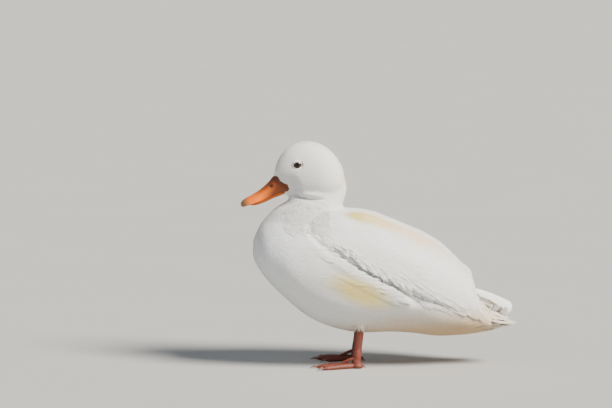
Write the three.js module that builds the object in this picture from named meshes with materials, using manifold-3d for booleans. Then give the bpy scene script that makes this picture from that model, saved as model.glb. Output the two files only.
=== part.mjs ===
// A small white domestic drake, standing with its neck drawn in: a still model at life size.
// Millimetres. +X points towards the bill, +Y to the drake's left and +Z up, with the soles on Z = 0.
// Every fleshy or feathered form is a sphere whose vertices are moved to a surface that follows a few
// named ribs. Neighbouring forms are then cut back from each other, which leaves a thin gap between them.
import * as THREE from "three";
import { mergeVertices } from "three/addons/utils/BufferGeometryUtils.js";
import Module from "manifold-3d";

const wasm = await Module();
wasm.setup();

// ---------------------------------------------------------------- driving dimensions
const GAP = 0.3; // left between neighbouring pieces
const LEFT = 1; // sign of Y on the drake's left side
const RIGHT = -1;

// A rib is [top x, top z, bottom x, bottom z, half width]. The first and last ribs of a form are its tips.
const TRUNK_RIBS = [
  [125, 111.5, 125, 111.5, 0], // foremost point of the breast
  [117.5, 136.5, 117.5, 92.5, 35],
  [99, 151.5, 98, 70.5, 49.5],
  [66, 156, 66, 45, 57], // shoulders
  [30, 154.3, 27, 32.5, 58.5], // over the legs
  [-8, 146, -14, 32.5, 55.5],
  [-44, 130, -52, 30, 48],
  [-74, 107, -80, 30.9, 38],
  [-90, 88.5, -99, 33.7, 27.5], // rump
  [-99.5, 59.5, -114, 36.1, 18],
  [-130, 40, -130, 40, 0], // feathers under the tail
];
const NECK_RIBS = [
  [57.5, 199.5, 57.5, 199.5, 0], // inside the skull
  [40, 191.5, 81.5, 190.5, 17],
  [33, 178.5, 87.5, 173.5, 21], // nape and throat
  [33.6, 166.5, 91, 162.5, 24],
  [37.5, 154.5, 105.5, 152.5, 31],
  [28.5, 139.5, 118, 135.5, 38],
  [31.5, 117.5, 121.5, 114.5, 40],
  [69.5, 101.5, 69.5, 101.5, 0], // inside the breast
];
const HEAD_RIBS = [
  [104.6, 181.5, 104.6, 181.5, 0], // where the bill begins
  [102.3, 196.5, 99, 171, 11.5],
  [95.7, 208.8, 90.5, 166.3, 17.5],
  [84, 217.8, 79.5, 163.5, 22], // eyes
  [69, 220.4, 67.5, 162, 24.6],
  [54.5, 215.8, 55.5, 162, 25],
  [43, 205.3, 45, 165.5, 21.5],
  [36.6, 194, 37.3, 173, 14],
  [34.8, 183.5, 34.8, 183.5, 0], // back of the head
];
const BILL_RIBS = [
  [85, 178.5, 85, 178.5, 0], // inside the face
  [94, 189.5, 86.5, 172.5, 8.6],
  [103.7, 186.3, 95, 170.1, 9.8], // feather line
  [109.5, 179.9, 103.7, 166.9, 9.3],
  [117, 173.1, 113, 162.6, 9.6],
  [124.8, 167.9, 121.6, 159.5, 10.6],
  [131.6, 164.1, 129.4, 157.3, 9.8],
  [135.4, 161.3, 134.5, 155.7, 6.2],
  [136.7, 157.7, 136.7, 157.7, 0],
];
const JAW_RIBS = [
  [87.5, 171.1, 87.5, 171.1, 0],
  [95.5, 171.9, 94.5, 168.1, 8],
  [105.5, 167.7, 104.5, 164.2, 7.9],
  [114.5, 163.5, 113.5, 160.1, 8.3],
  [123.5, 160.3, 123, 157.3, 8.4],
  [130.5, 158.1, 130.5, 158.1, 0],
];
const THIGH_RIBS = [
  [19, 74.5, 19, 74.5, 0], // inside the belly
  [3, 62.5, 37, 62.5, 15],
  [6, 50.5, 33, 50.5, 13],
  [12, 43, 27, 43, 8],
  [19, 40, 19, 40, 0], // where the shank comes out
];

// A wing hugs the trunk. Its rows are [upper station, upper angle, lower station, lower angle, half thickness],
// with stations from 0 to 1 along the trunk and angles in degrees above its widest line.
const WING_ROWS = [
  [0.29, 44, 0.29, 44, 0], // shoulder
  [0.335, 69, 0.335, 25, 2.2],
  [0.41, 80, 0.4, 16, 3.2],
  [0.5, 84, 0.5, 0, 3.6],
  [0.6, 86, 0.6, -10, 3.6],
  [0.685, 86, 0.69, -9, 3.2],
  [0.765, 84, 0.77, -13, 2.4],
  [0.805, 30, 0.805, 30, 0], // blunt ends of the tertials
];
// The primaries' tips show below the wing's rear edge, in rows of the same kind.
const PRIMARY_ROWS = [
  [0.63, -5, 0.63, -5, 0],
  [0.66, -3, 0.66, -19, 1],
  [0.73, -6, 0.73, -27, 1.1],
  [0.79, -12, 0.79, -30, 1],
  [0.83, -24, 0.83, -24, 0],
];
const WING_LIFT = 1; // how far the wing's middle stands off the trunk
const PRIMARY_LIFT = 1.1;

const EYE = { x: 80.9, z: 198.4, y: 15.9, radius: 5.6 };
const NAIL = { x: 136.2, z: 158.6, radii: [8, 3.9, 6] }; // horny shield at the bill's tip
const NOSTRIL = { x: 107, z: 176.4, length: 4.6, height: 1.9, dip: -42 };

const TAIL = {
  feathers: 10,
  root: [-84, 0, 55],
  length: 52.4, // of the middle pair
  shorter: 8, // by which the outermost pair falls short
  dip: 14.6, // degrees below level
  fan: 26, // degrees from the middle to the outermost feather
  half: 6.4, // half width of one feather
  thick: 0.9,
  droop: 0.13, // how fast the fan falls away to its sides
};
// Curled feathers over the tail, from the inner one out: centre and radii of each loop, its shift to the
// side, where its tip ends, its half width and how far its far edge leans over.
const CURLS = [
  { x: -105.8, z: 59.9, back: 5.4, up: 4.3, down: 4.9, side: 2.5, tip: [-97, 67], half: 4.4, lean: 25 },
  { x: -111, z: 58.5, back: 9.6, up: 7, down: 7.6, side: -3, tip: [-97, 71], half: 5.4, lean: -25 },
  { x: -115.2, z: 57.5, back: 12.6, up: 7.4, down: 9.2, side: 4, tip: [-96, 74.5], half: 6.2, lean: 25 },
];
const CURL_ROOT = { x: -90, z: 57.5, spread: 2.2 };
const CURL_THICK = 0.65; // half thickness

const LEG = { x: 18.5, y: 28, top: 48, bottom: 7.5, lean: 5, half: 3.5 }; // shank, from the thigh down
const ANKLE = { x: -0.2, radii: [4.6, 3.9, 6], height: 6 };
const HEEL_PAD = { x: -1.3, radii: [5.9, 4.7, 3.2], height: 2.3 };
const TOES = [
  // angle outwards from straight ahead in degrees, length, radius at the root
  { name: "inner", angle: -23, length: 33, root: 2.7 },
  { name: "middle", angle: 2, length: 40.5, root: 3 },
  { name: "outer", angle: 26, length: 38, root: 2.8 },
];
const TOE_END = 1.9; // radius of a toe under its claw
const HIND_TOE = { length: 6.6, radius: 1.6, height: 6, angle: 205, dip: 40 };
const CLAW = { length: 6, radius: 1.35, hind: 3.6 };
const WEB = { reach: 0.86, hollow: 0.13, thick: 1.3, height: 0.7 };

const PLUMAGE = material(0xf4f1e8, 0.75);
const TAIL_WHITE = material(0xfaf8f2, 0.65);
const BILL_ORANGE = material(0xe0822c, 0.42);
const NAIL_HORN = material(0xb89064, 0.4);
const LEG_ORANGE = material(0xc4592a, 0.5);
const CLAW_HORN = material(0x4a3526, 0.45);
const EYE_BROWN = material(0x1a100b, 0.08);

function material(color, roughness) {
  return new THREE.MeshStandardMaterial({ color, roughness, metalness: 0 });
}

// ---------------------------------------------------------------- shape tools
const radians = THREE.MathUtils.degToRad;

// A closed form: each vertex of a sphere goes to pointAt(along, angle), with along running from 0 to 1
// between the poles.
function form(pointAt, around, along) {
  const geometry = new THREE.SphereGeometry(1, around, along);
  const { position, uv } = geometry.attributes;
  for (let i = 0; i < position.count; i++) {
    const p = pointAt(1 - uv.getY(i), 2 * Math.PI * uv.getX(i));
    position.setXYZ(i, p.x, p.y, p.z);
  }
  return geometry;
}

// The same form with its surface moved outwards, for cutting a neighbour back.
function grown(geometry, distance = GAP) {
  const merged = weld(geometry);
  merged.computeVertexNormals();
  const { position, normal } = merged.attributes;
  for (let i = 0; i < position.count; i++) {
    position.setXYZ(
      i,
      position.getX(i) + distance * normal.getX(i),
      position.getY(i) + distance * normal.getY(i),
      position.getZ(i) + distance * normal.getZ(i),
    );
  }
  return solid(merged);
}

function weld(geometry) {
  const bare = new THREE.BufferGeometry().setAttribute("position", geometry.attributes.position.clone());
  if (geometry.index) bare.setIndex(geometry.index.clone());
  const merged = mergeVertices(bare, 1e-3);
  if (volumeOf(merged) < 0) merged.index.array.reverse();
  return merged;
}

function volumeOf(geometry) {
  const [a, b, c] = [new THREE.Vector3(), new THREE.Vector3(), new THREE.Vector3()];
  const { position } = geometry.attributes;
  const corners = geometry.index.array;
  let sum = 0;
  for (let i = 0; i < corners.length; i += 3) {
    a.fromBufferAttribute(position, corners[i]);
    b.fromBufferAttribute(position, corners[i + 1]);
    c.fromBufferAttribute(position, corners[i + 2]);
    sum += a.dot(b.cross(c)) / 6;
  }
  return sum;
}

function solid(geometry) {
  const merged = weld(geometry);
  return new wasm.Manifold(
    new wasm.Mesh({
      numProp: 3,
      vertProperties: new Float32Array(merged.attributes.position.array),
      triVerts: new Uint32Array(merged.index.array),
    }),
  );
}

function cut(whole, ...cutters) {
  return cutters.reduce((left, cutter) => left.subtract(cutter), whole);
}

function join(...solids) {
  return solids.reduce((all, one) => all.add(one));
}

// Takes the largest piece, where a cut has left chips behind.
function largest(piece) {
  return piece.decompose().reduce((best, one) => (one.volume() > best.volume() ? one : best));
}

function meshOf(name, piece, finish) {
  const { vertProperties, triVerts, numProp, numVert } = piece.getMesh();
  const position = new Float32Array(numVert * 3);
  for (let i = 0; i < numVert; i++) {
    position.set(vertProperties.subarray(i * numProp, i * numProp + 3), i * 3);
  }
  const geometry = new THREE.BufferGeometry()
    .setAttribute("position", new THREE.BufferAttribute(position, 3))
    .setIndex(new THREE.BufferAttribute(triVerts, 1));
  geometry.computeVertexNormals();
  const mesh = new THREE.Mesh(geometry, finish);
  mesh.name = name;
  return mesh;
}

// A smooth curve through rows of numbers. Beyond a tip it goes on to the neighbouring row turned over,
// which makes the tip round.
function between(rows, t) {
  const last = rows.length - 1;
  const k = Math.min(Math.floor(t * last), last - 1);
  const f = t * last - k;
  const before = k > 0 ? rows[k - 1] : turnedOver(rows[1]);
  const after = k + 2 <= last ? rows[k + 2] : turnedOver(rows[last - 1]);
  return rows[k].map((b, i) => {
    const [a, c, d] = [before[i], rows[k + 1][i], after[i]];
    return b + 0.5 * f * (c - a + f * (2 * a - 5 * b + 4 * c - d + f * (3 * (b - c) + d - a)));
  });
}

function turnedOver([topX, topZ, bottomX, bottomZ, half]) {
  return [bottomX, bottomZ, topX, topZ, -half];
}

function bent(value, power) {
  return Math.sign(value) * Math.abs(value) ** power;
}

// A point on the rib at t. waist is where the rib is widest, from 0 at its bottom to 1 at its top, and
// full is 2 for an ellipse and more for a squarer section.
function ribPoint(ribs, { waist = 0.5, full = 2, fullBelow = full }, t, angle) {
  const [topX, topZ, bottomX, bottomZ, half] = between(ribs, t);
  const above = Math.sin(angle) > 0;
  const power = 2 / (above ? full : fullBelow);
  const reach = bent(Math.sin(angle), power);
  const rise = waist + reach * (above ? 1 - waist : waist);
  return new THREE.Vector3(
    bottomX + (topX - bottomX) * rise,
    half * bent(Math.cos(angle), power),
    bottomZ + (topZ - bottomZ) * rise,
  );
}

function ribbed(ribs, section, around, along) {
  return form((t, angle) => ribPoint(ribs, section, t, angle), around, along);
}

function shifted(geometry, x, y, z) {
  return geometry.clone().translate(x, y, z);
}

function ellipsoid(x, y, z, rx, ry, rz, around = 16, along = 10) {
  return new THREE.SphereGeometry(1, around, along).scale(rx, ry, rz).translate(x, y, z);
}

// A flat blade along a path in the XZ plane, half wide to each side. Its +Y edge drops as lean grows.
function blade(path, { halfAt, thickAt, leanAt }, around, along) {
  return form(
    (t, angle) => {
      const p = path.getPoint(t);
      const d = path.getTangent(t);
      const across = Math.cos(angle) * halfAt(t);
      const off = Math.sin(angle) * thickAt(t);
      const lean = radians(leanAt(t));
      const out = off * Math.cos(lean) + across * Math.sin(lean);
      return new THREE.Vector3(p.x - d.z * out, across * Math.cos(lean) - off * Math.sin(lean), p.z + d.x * out);
    },
    around,
    along,
  );
}

// ---------------------------------------------------------------- trunk and wings
const TRUNK_SECTION = { waist: 0.47, full: 2.05, fullBelow: 1.95 };
const trunkForm = ribbed(TRUNK_RIBS, TRUNK_SECTION, 26, 21);

function trunkPoint(t, angle) {
  return ribPoint(TRUNK_RIBS, TRUNK_SECTION, t, angle);
}

function trunkNormal(t, angle) {
  const step = 0.004;
  const alongBody = trunkPoint(t + step, angle).sub(trunkPoint(t - step, angle));
  const aroundBody = trunkPoint(t, angle + step).sub(trunkPoint(t, angle - step));
  return aroundBody.cross(alongBody).normalize();
}

// A form that hugs the trunk, following rows like the wing's.
function huggingForm(side, rows, lift, around, along) {
  const pointAt = (s, turn) => {
    const [highT, high, lowT, low, thick] = between(rows, s);
    const across = (1 + Math.cos(turn)) / 2;
    const t = lowT + (highT - lowT) * across;
    const angle = radians(low + (high - low) * across);
    const normal = trunkNormal(t, angle);
    const p = trunkPoint(t, angle).addScaledVector(normal, lift + thick * Math.sin(turn));
    return p.setY(side * p.y);
  };
  return form(pointAt, around, along);
}

// ---------------------------------------------------------------- head, neck and bill
const neckForm = ribbed(NECK_RIBS, { waist: 0.45, full: 2.1 }, 20, 10);
const headForm = ribbed(HEAD_RIBS, { waist: 0.44, full: 2.05, fullBelow: 2.35 }, 20, 13);
const billForm = ribbed(BILL_RIBS, { waist: 0.2, full: 2, fullBelow: 3.5 }, 16, 12);
const jawForm = ribbed(JAW_RIBS, { waist: 0.6, full: 3, fullBelow: 2.4 }, 12, 8);
const nailForm = ellipsoid(NAIL.x, 0, NAIL.z, ...NAIL.radii, 10, 6);

function eyeForm(side) {
  return ellipsoid(EYE.x, side * EYE.y, EYE.z, EYE.radius, EYE.radius, EYE.radius, 12, 8);
}

function nostrilForm() {
  const across = 30; // runs right through the bill, as a duck's nostrils do
  return new THREE.CylinderGeometry(1, 1, across, 8)
    .scale(NOSTRIL.length / 2, 1, NOSTRIL.height / 2)
    .rotateY(radians(-NOSTRIL.dip))
    .translate(NOSTRIL.x, 0, NOSTRIL.z);
}

// ---------------------------------------------------------------- tail and curls
function tailFeather(index) {
  const outer = (2 * index) / (TAIL.feathers - 1) - 1; // -1 and 1 are the outermost pair
  const yaw = radians(TAIL.fan * outer);
  const length = TAIL.length - TAIL.shorter * outer * outer;
  const fall = Math.tan(radians(TAIL.dip));
  const pointAt = (t, turn) => {
    const run = length * t;
    const half = TAIL.half * (t * (1 - t) ** 0.7 * 2.6) ** 0.5;
    const across = Math.min(half, TAIL.half) * Math.cos(turn);
    const x = -run * Math.cos(yaw) - across * Math.sin(yaw);
    const y = run * Math.sin(yaw) + across * Math.cos(yaw);
    const thick = TAIL.thick * Math.sin(turn) * Math.sin(Math.PI * t) ** 0.4;
    const z = x * fall - TAIL.droop * Math.abs(y) - 0.5 * Math.abs(outer) + thick;
    return new THREE.Vector3(TAIL.root[0] + x, TAIL.root[1] + y, TAIL.root[2] + z);
  };
  return solid(form(pointAt, 6, 6));
}

function curlPath({ x, z, back, up, down, tip }, rank) {
  const points = [new THREE.Vector3(CURL_ROOT.x, 0, CURL_ROOT.z - CURL_ROOT.spread * rank)];
  for (let turn = 270; turn >= 120; turn -= 30) {
    const rise = Math.sin(radians(turn));
    points.push(new THREE.Vector3(x + back * Math.cos(radians(turn)), 0, z + (rise < 0 ? down : up) * rise));
  }
  const [tipX, tipZ] = tip;
  const last = points.at(-1);
  points.push(new THREE.Vector3((tipX + last.x) / 2, 0, (tipZ + last.z) / 2 + 0.06 * back));
  points.push(new THREE.Vector3(tipX, 0, tipZ));
  return new THREE.CatmullRomCurve3(points);
}

function curlForm(curl, rank) {
  const shape = {
    halfAt: (t) => curl.half * Math.sin(Math.PI * t ** 0.75) ** 0.6,
    thickAt: (t) => CURL_THICK * Math.sin(Math.PI * t) ** 0.25,
    leanAt: (t) => curl.lean * THREE.MathUtils.smoothstep(t, 0.35, 0.75),
  };
  return shifted(blade(curlPath(curl, rank), shape, 6, 16), 0, curl.side, 0);
}

// ---------------------------------------------------------------- legs and feet
function shankForm(side) {
  const height = LEG.top - LEG.bottom;
  const pointAt = (t, turn) => {
    const swell = 1 + 0.32 * (2 * t - 1) ** 4; // thicker at both joints
    const round = Math.sin(Math.PI * Math.min(t, 1 - t, 0.06) / 0.12) ** 0.5;
    const half = LEG.half * swell * round;
    return new THREE.Vector3(
      LEG.x + LEG.lean * t + 1.12 * half * Math.sin(turn) * -1,
      side * LEG.y + 0.88 * half * Math.cos(turn),
      LEG.top - height * t,
    );
  };
  return form(pointAt, 8, 8);
}

const ankleX = LEG.x + LEG.lean;

// A tapering round bar between two points.
function bar(from, to, fromRadius, toRadius, around = 10, along = 8) {
  const run = to.clone().sub(from);
  const length = run.length();
  const turn = new THREE.Quaternion().setFromUnitVectors(new THREE.Vector3(0, 0, 1), run.clone().normalize());
  const pointAt = (t, angle) => {
    const radius = fromRadius + (toRadius - fromRadius) * t;
    const cap = Math.sqrt(1 - Math.max(0, Math.abs(2 * t - 1) - 0.72) ** 2 / 0.28 ** 2);
    const p = new THREE.Vector3(radius * cap * Math.cos(angle), radius * cap * Math.sin(angle), 0);
    p.z = (length + fromRadius + toRadius) * t - fromRadius;
    return p.applyQuaternion(turn).add(from);
  };
  return form(pointAt, around, along);
}

// The point at a share of a toe's length, in the foot's own place.
function toePoint(side, toe, share, height) {
  const angle = radians(toe.angle) * side;
  return new THREE.Vector3(
    ankleX + share * toe.length * Math.cos(angle),
    side * LEG.y + share * toe.length * Math.sin(angle),
    height,
  );
}

function toeForm(side, toe) {
  return bar(toePoint(side, toe, 0, toe.root), toePoint(side, toe, 1, TOE_END - 0.25), toe.root, TOE_END, 6, 5);
}

// The web spans two neighbouring toes, with a hollow front edge.
function webForm(side, toe, next) {
  const corner = (t, share) => toePoint(side, t, share, 0);
  const [a, b] = [corner(toe, WEB.reach), corner(next, WEB.reach)];
  const heel = corner(toe, 0);
  const middle = a.clone().add(b).multiplyScalar(0.5).sub(heel).multiplyScalar(1 - WEB.hollow).add(heel);
  const outline = new THREE.Shape();
  outline.moveTo(heel.x, heel.y);
  outline.lineTo(a.x, a.y);
  outline.quadraticCurveTo(middle.x, middle.y, b.x, b.y);
  outline.closePath();
  const geometry = new THREE.ExtrudeGeometry(outline, { depth: WEB.thick, bevelEnabled: false, curveSegments: 5 });
  return shifted(geometry, 0, 0, WEB.height);
}

function clawForm(from, direction, length, radius) {
  const pointAt = (t, turn) => {
    const taper = radius * Math.sqrt(Math.min(1, 6 * t)) * (1 - t) ** 0.75;
    const dip = -0.3 * length * t * t;
    const across = new THREE.Vector3(-direction.y, direction.x, 0).normalize();
    return from
      .clone()
      .addScaledVector(direction, length * t)
      .addScaledVector(across, 0.8 * taper * Math.cos(turn))
      .add(new THREE.Vector3(0, 0, dip + taper * Math.sin(turn)));
  };
  return form(pointAt, 5, 4);
}

function clawOf(side, toe) {
  const from = toePoint(side, toe, 1, 2.6);
  const ahead = toePoint(side, toe, 1, 0).sub(toePoint(side, toe, 0, 0)).normalize();
  return clawForm(from.addScaledVector(ahead, 0.2), ahead, CLAW.length, CLAW.radius);
}

function hindToe(side) {
  const angle = radians(HIND_TOE.angle) * side;
  const dip = radians(HIND_TOE.dip);
  const ahead = new THREE.Vector3(
    Math.cos(angle) * Math.cos(dip),
    Math.sin(angle) * Math.cos(dip),
    -Math.sin(dip),
  );
  const from = new THREE.Vector3(ankleX - 2.4, side * (LEG.y - 1), HIND_TOE.height);
  return { from, ahead, end: from.clone().addScaledVector(ahead, HIND_TOE.length) };
}

// Everything below the soles' level is cut away, which leaves small flats under the toes.
const FLOOR = solid(new THREE.BoxGeometry(400, 400, 40).translate(0, 0, -20));

function footParts(side) {
  const tag = side === LEFT ? "left" : "right";
  const lumps = [ANKLE, HEEL_PAD].map(({ x, radii, height }) =>
    solid(ellipsoid(ankleX + x, side * LEG.y, height, ...radii, 8, 6)),
  );
  const hind = hindToe(side);
  const hindBar = bar(hind.from, hind.end, HIND_TOE.radius, HIND_TOE.radius * 0.8, 6, 5);
  const webs = [0, 1].map((i) => solid(webForm(side, TOES[i], TOES[i + 1])));
  const toes = TOES.map((toe) => solid(toeForm(side, toe)));
  const whole = join(...toes, ...webs, ...lumps, solid(hindBar));
  const claws = TOES.map((toe) => ({ name: toe.name, geometry: clawOf(side, toe) }));
  claws.push({
    name: "hind",
    geometry: clawForm(hind.end, hind.ahead.clone().setZ(-0.35).normalize(), CLAW.hind, CLAW.radius * 0.8),
  });
  const shank = shankForm(side);
  const foot = cut(whole, ...claws.map((claw) => grown(claw.geometry)), grown(shank), FLOOR);
  return [
    meshOf(`foot_${tag}`, largest(foot), LEG_ORANGE),
    ...claws.map((claw) =>
      meshOf(`claw_${claw.name}_${tag}`, largest(cut(solid(claw.geometry), FLOOR)), CLAW_HORN),
    ),
  ];
}

// ---------------------------------------------------------------- assembly
const wings = [LEFT, RIGHT].map((side) => huggingForm(side, WING_ROWS, WING_LIFT, 12, 12));
const primaries = [LEFT, RIGHT].map((side) => huggingForm(side, PRIMARY_ROWS, PRIMARY_LIFT, 8, 8));
const eyes = [LEFT, RIGHT].map(eyeForm);
const thighs = [LEFT, RIGHT].map((side) =>
  shifted(ribbed(THIGH_RIBS, { waist: 0.5, full: 2 }, 12, 7), 0, side * LEG.y, 0),
);
const shanks = [LEFT, RIGHT].map(shankForm);
const curls = CURLS.map(curlForm);
const tail = join(...Array.from({ length: TAIL.feathers }, (_, i) => tailFeather(i)));
const tailGrown = join(
  ...[-GAP, GAP].map((rise) => tail.translate([0, 0, rise])),
  tail.scale([1.004, 1.01, 1]).translate([-0.5 * GAP, 0, 0]),
);

const trunk = cut(
  solid(trunkForm),
  ...[...wings, ...thighs].map((one) => grown(one, 1.4 * GAP)),
  ...primaries.map((one) => grown(one, 2 * GAP)),
);
const neck = cut(solid(neckForm), grown(trunkForm), grown(headForm), ...wings.map((w) => grown(w)));
const head = cut(
  solid(headForm),
  grown(billForm),
  grown(jawForm),
  ...eyes.map((eye) => grown(eye)),
);
const billUpper = cut(solid(billForm), grown(jawForm), grown(nailForm), solid(nostrilForm()));
const nail = cut(solid(billForm).intersect(solid(nailForm)), grown(jawForm));
const tailPiece = cut(tail, grown(trunkForm), ...primaries.map((p) => grown(p)), ...wings.map((w) => grown(w)));

const pieces = [
  meshOf("trunk", largest(trunk), PLUMAGE),
  meshOf("neck", largest(neck), PLUMAGE),
  meshOf("head", largest(head), PLUMAGE),
  meshOf("bill_upper", largest(billUpper), BILL_ORANGE),
  meshOf("bill_lower", largest(solid(jawForm)), BILL_ORANGE),
  meshOf("bill_nail", largest(nail), NAIL_HORN),
  meshOf("tail", largest(tailPiece), TAIL_WHITE),
  ...curls.map((curl, i) => {
    const cutters = [tailGrown, grown(trunkForm), ...wings.map((w) => grown(w))];
    return meshOf(`tail_curl_${i + 1}`, largest(cut(solid(curl), ...cutters)), TAIL_WHITE);
  }),
];
[LEFT, RIGHT].forEach((side, i) => {
  const tag = side === LEFT ? "left" : "right";
  const tipsCut = cut(solid(primaries[i]), grown(wings[i]));
  pieces.push(
    meshOf(`wing_${tag}`, largest(solid(wings[i])), PLUMAGE),
    meshOf(`primaries_${tag}`, largest(tipsCut), TAIL_WHITE),
    meshOf(`eye_${tag}`, solid(eyes[i]), EYE_BROWN),
    meshOf(`thigh_${tag}`, solid(thighs[i]), PLUMAGE),
    meshOf(`shank_${tag}`, largest(cut(solid(shanks[i]), grown(thighs[i]), grown(trunkForm))), LEG_ORANGE),
    ...footParts(side),
  );
});

const drake = new THREE.Group();
drake.add(...pieces);

// The origin is under the middle of the whole bird, at the level of its soles.
const box = new THREE.Box3().setFromObject(drake);
const middle = box.getCenter(new THREE.Vector3());
drake.position.set(-middle.x, -middle.y, -box.min.z);

export default drake;
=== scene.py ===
"""A white call duck drake, standing: skin, plumage, bill, eyes and feet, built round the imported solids."""

import math

import bmesh
import bpy
import numpy as np
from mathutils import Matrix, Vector
from mathutils.bvhtree import BVHTree


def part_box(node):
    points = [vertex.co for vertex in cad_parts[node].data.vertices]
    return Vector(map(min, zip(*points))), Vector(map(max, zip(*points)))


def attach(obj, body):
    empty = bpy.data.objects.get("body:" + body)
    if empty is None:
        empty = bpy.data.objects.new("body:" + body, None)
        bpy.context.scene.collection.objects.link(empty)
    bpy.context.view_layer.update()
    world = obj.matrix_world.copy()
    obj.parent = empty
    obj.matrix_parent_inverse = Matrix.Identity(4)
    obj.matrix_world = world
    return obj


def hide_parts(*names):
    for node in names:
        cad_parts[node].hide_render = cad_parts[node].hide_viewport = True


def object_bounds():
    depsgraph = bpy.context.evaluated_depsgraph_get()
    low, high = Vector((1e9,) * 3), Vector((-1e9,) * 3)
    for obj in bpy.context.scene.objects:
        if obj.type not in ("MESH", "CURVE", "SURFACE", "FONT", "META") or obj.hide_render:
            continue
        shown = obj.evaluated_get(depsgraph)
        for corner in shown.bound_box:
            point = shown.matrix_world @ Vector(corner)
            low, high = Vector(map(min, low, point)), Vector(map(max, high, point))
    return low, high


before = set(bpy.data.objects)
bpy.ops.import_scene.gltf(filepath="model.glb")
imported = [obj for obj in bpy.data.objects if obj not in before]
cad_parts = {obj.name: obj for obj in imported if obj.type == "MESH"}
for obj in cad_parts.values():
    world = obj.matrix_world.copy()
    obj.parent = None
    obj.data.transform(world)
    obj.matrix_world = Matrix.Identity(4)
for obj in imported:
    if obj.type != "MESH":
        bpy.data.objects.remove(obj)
solid_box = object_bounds()

MM = 0.001
SIDES = {"left": 1, "right": -1}
EYE = (80.9, 15.9, 198.4)  # centre of the left eyeball, in the solids' own millimetres
EYE_RADIUS = 5.6
EYE_SIDE = 10  # beyond this distance from the middle a point belongs to one eye
PATCH = 0.003  # size on the unwrap of the patch that each vane is given


def middle_of(node):
    low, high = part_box(node)
    return np.array(low + high) / 2


SHIFT = middle_of("eye_left") - np.array(EYE) * MM  # from those millimetres to the frame


# ---------------------------------------------------------------- sizes shared with the solids
# A rib is top x, top z, bottom x, bottom z, half width, in millimetres. The first and last are the tips.
TRUNK_RIBS = [
    (125, 111.5, 125, 111.5, 0),
    (117.5, 136.5, 117.5, 92.5, 35),
    (99, 151.5, 98, 70.5, 49.5),
    (66, 156, 66, 45, 57),
    (30, 154.3, 27, 32.5, 58.5),
    (-8, 146, -14, 32.5, 55.5),
    (-44, 130, -52, 30, 48),
    (-74, 107, -80, 30.9, 38),
    (-90, 88.5, -99, 33.7, 27.5),
    (-99.5, 59.5, -114, 36.1, 18),
    (-130, 40, -130, 40, 0),
]
NECK_RIBS = [
    (57.5, 199.5, 57.5, 199.5, 0),
    (40, 191.5, 81.5, 190.5, 17),
    (33, 178.5, 87.5, 173.5, 21),
    (33.6, 166.5, 91, 162.5, 24),
    (37.5, 154.5, 105.5, 152.5, 31),
    (28.5, 139.5, 118, 135.5, 38),
    (31.5, 117.5, 121.5, 114.5, 40),
    (69.5, 101.5, 69.5, 101.5, 0),
]
HEAD_RIBS = [
    (104.6, 181.5, 104.6, 181.5, 0),
    (102.3, 196.5, 99, 171, 11.5),
    (95.7, 208.8, 90.5, 166.3, 17.5),
    (84, 217.8, 79.5, 163.5, 22),
    (69, 220.4, 67.5, 162, 24.6),
    (54.5, 215.8, 55.5, 162, 25),
    (43, 205.3, 45, 165.5, 21.5),
    (36.6, 194, 37.3, 173, 14),
    (34.8, 183.5, 34.8, 183.5, 0),
]
BILL_RIBS = [
    (85, 178.5, 85, 178.5, 0),
    (94, 189.5, 86.5, 172.5, 8.6),
    (103.7, 186.3, 95, 170.1, 9.8),
    (109.5, 179.9, 103.7, 166.9, 9.3),
    (117, 173.1, 113, 162.6, 9.6),
    (124.8, 167.9, 121.6, 159.5, 10.6),
    (131.6, 164.1, 129.4, 157.3, 9.8),
    (135.4, 161.3, 134.5, 155.7, 6.2),
    (136.7, 157.7, 136.7, 157.7, 0),
]
JAW_RIBS = [
    (87.5, 171.1, 87.5, 171.1, 0),
    (95.5, 171.9, 94.5, 168.1, 8),
    (105.5, 167.7, 104.5, 164.2, 7.9),
    (114.5, 163.5, 113.5, 160.1, 8.3),
    (123.5, 160.3, 123, 157.3, 8.4),
    (130.5, 158.1, 130.5, 158.1, 0),
]
THIGH_RIBS = [
    (19, 74.5, 19, 74.5, 0),
    (3, 62.5, 37, 62.5, 15),
    (6, 50.5, 33, 50.5, 13),
    (12, 43, 27, 43, 8),
    (19, 40, 19, 40, 0),
]
# Upper station, upper angle, lower station, lower angle, half thickness, from the shoulder to the wing's end.
WING_ROWS = [
    (0.29, 44, 0.29, 44, 0),
    (0.335, 69, 0.335, 25, 2.2),
    (0.41, 80, 0.4, 16, 3.2),
    (0.5, 84, 0.5, 0, 3.6),
    (0.6, 86, 0.6, -10, 3.6),
    (0.685, 86, 0.69, -9, 3.2),
    (0.765, 84, 0.77, -13, 2.4),
    (0.805, 30, 0.805, 30, 0),
]
PAD_ROWS = [  # the plumage that closes over the back between the wings
    (0.29, 90, 0.29, 90, 0),
    (0.36, 106, 0.36, 74, 2.2),
    (0.5, 106, 0.5, 74, 3.6),
    (0.6, 106, 0.6, 74, 3.6),
    (0.7, 106, 0.7, 74, 3.2),
    (0.77, 104, 0.77, 76, 2.4),
    (0.81, 90, 0.81, 90, 0),
]
TRUNK_SECTION = (0.47, 2.05, 1.95)  # height of the widest line, fullness above it and below it
NECK_SECTION = (0.45, 2.1, 2.1)
HEAD_SECTION = (0.44, 2.05, 2.35)
BILL_SECTION = (0.2, 2, 3.5)
JAW_SECTION = (0.6, 3, 2.4)

NOSTRIL = (106.8, 176.9, 3.8, 1.7, -42)  # x, z, length, height and dip in degrees
LEG_Y = 28
ANKLE_X = 23.5
ANKLE_FORMS = [(22.6, 12.5, 0, 9, 3.9), (30, 8.5, 12, -5.5, 2.9)]  # x, z, reach, rise and radius
TOES = {"inner": (-23, 33), "middle": (2, 40.5), "outer": (26, 38)}  # degrees outwards, length
HIND_TOE = (6.6, 6, 205, 40)  # length, height, heading and dip in degrees
TAIL_ROOT = (-84, 0, 55)
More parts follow.
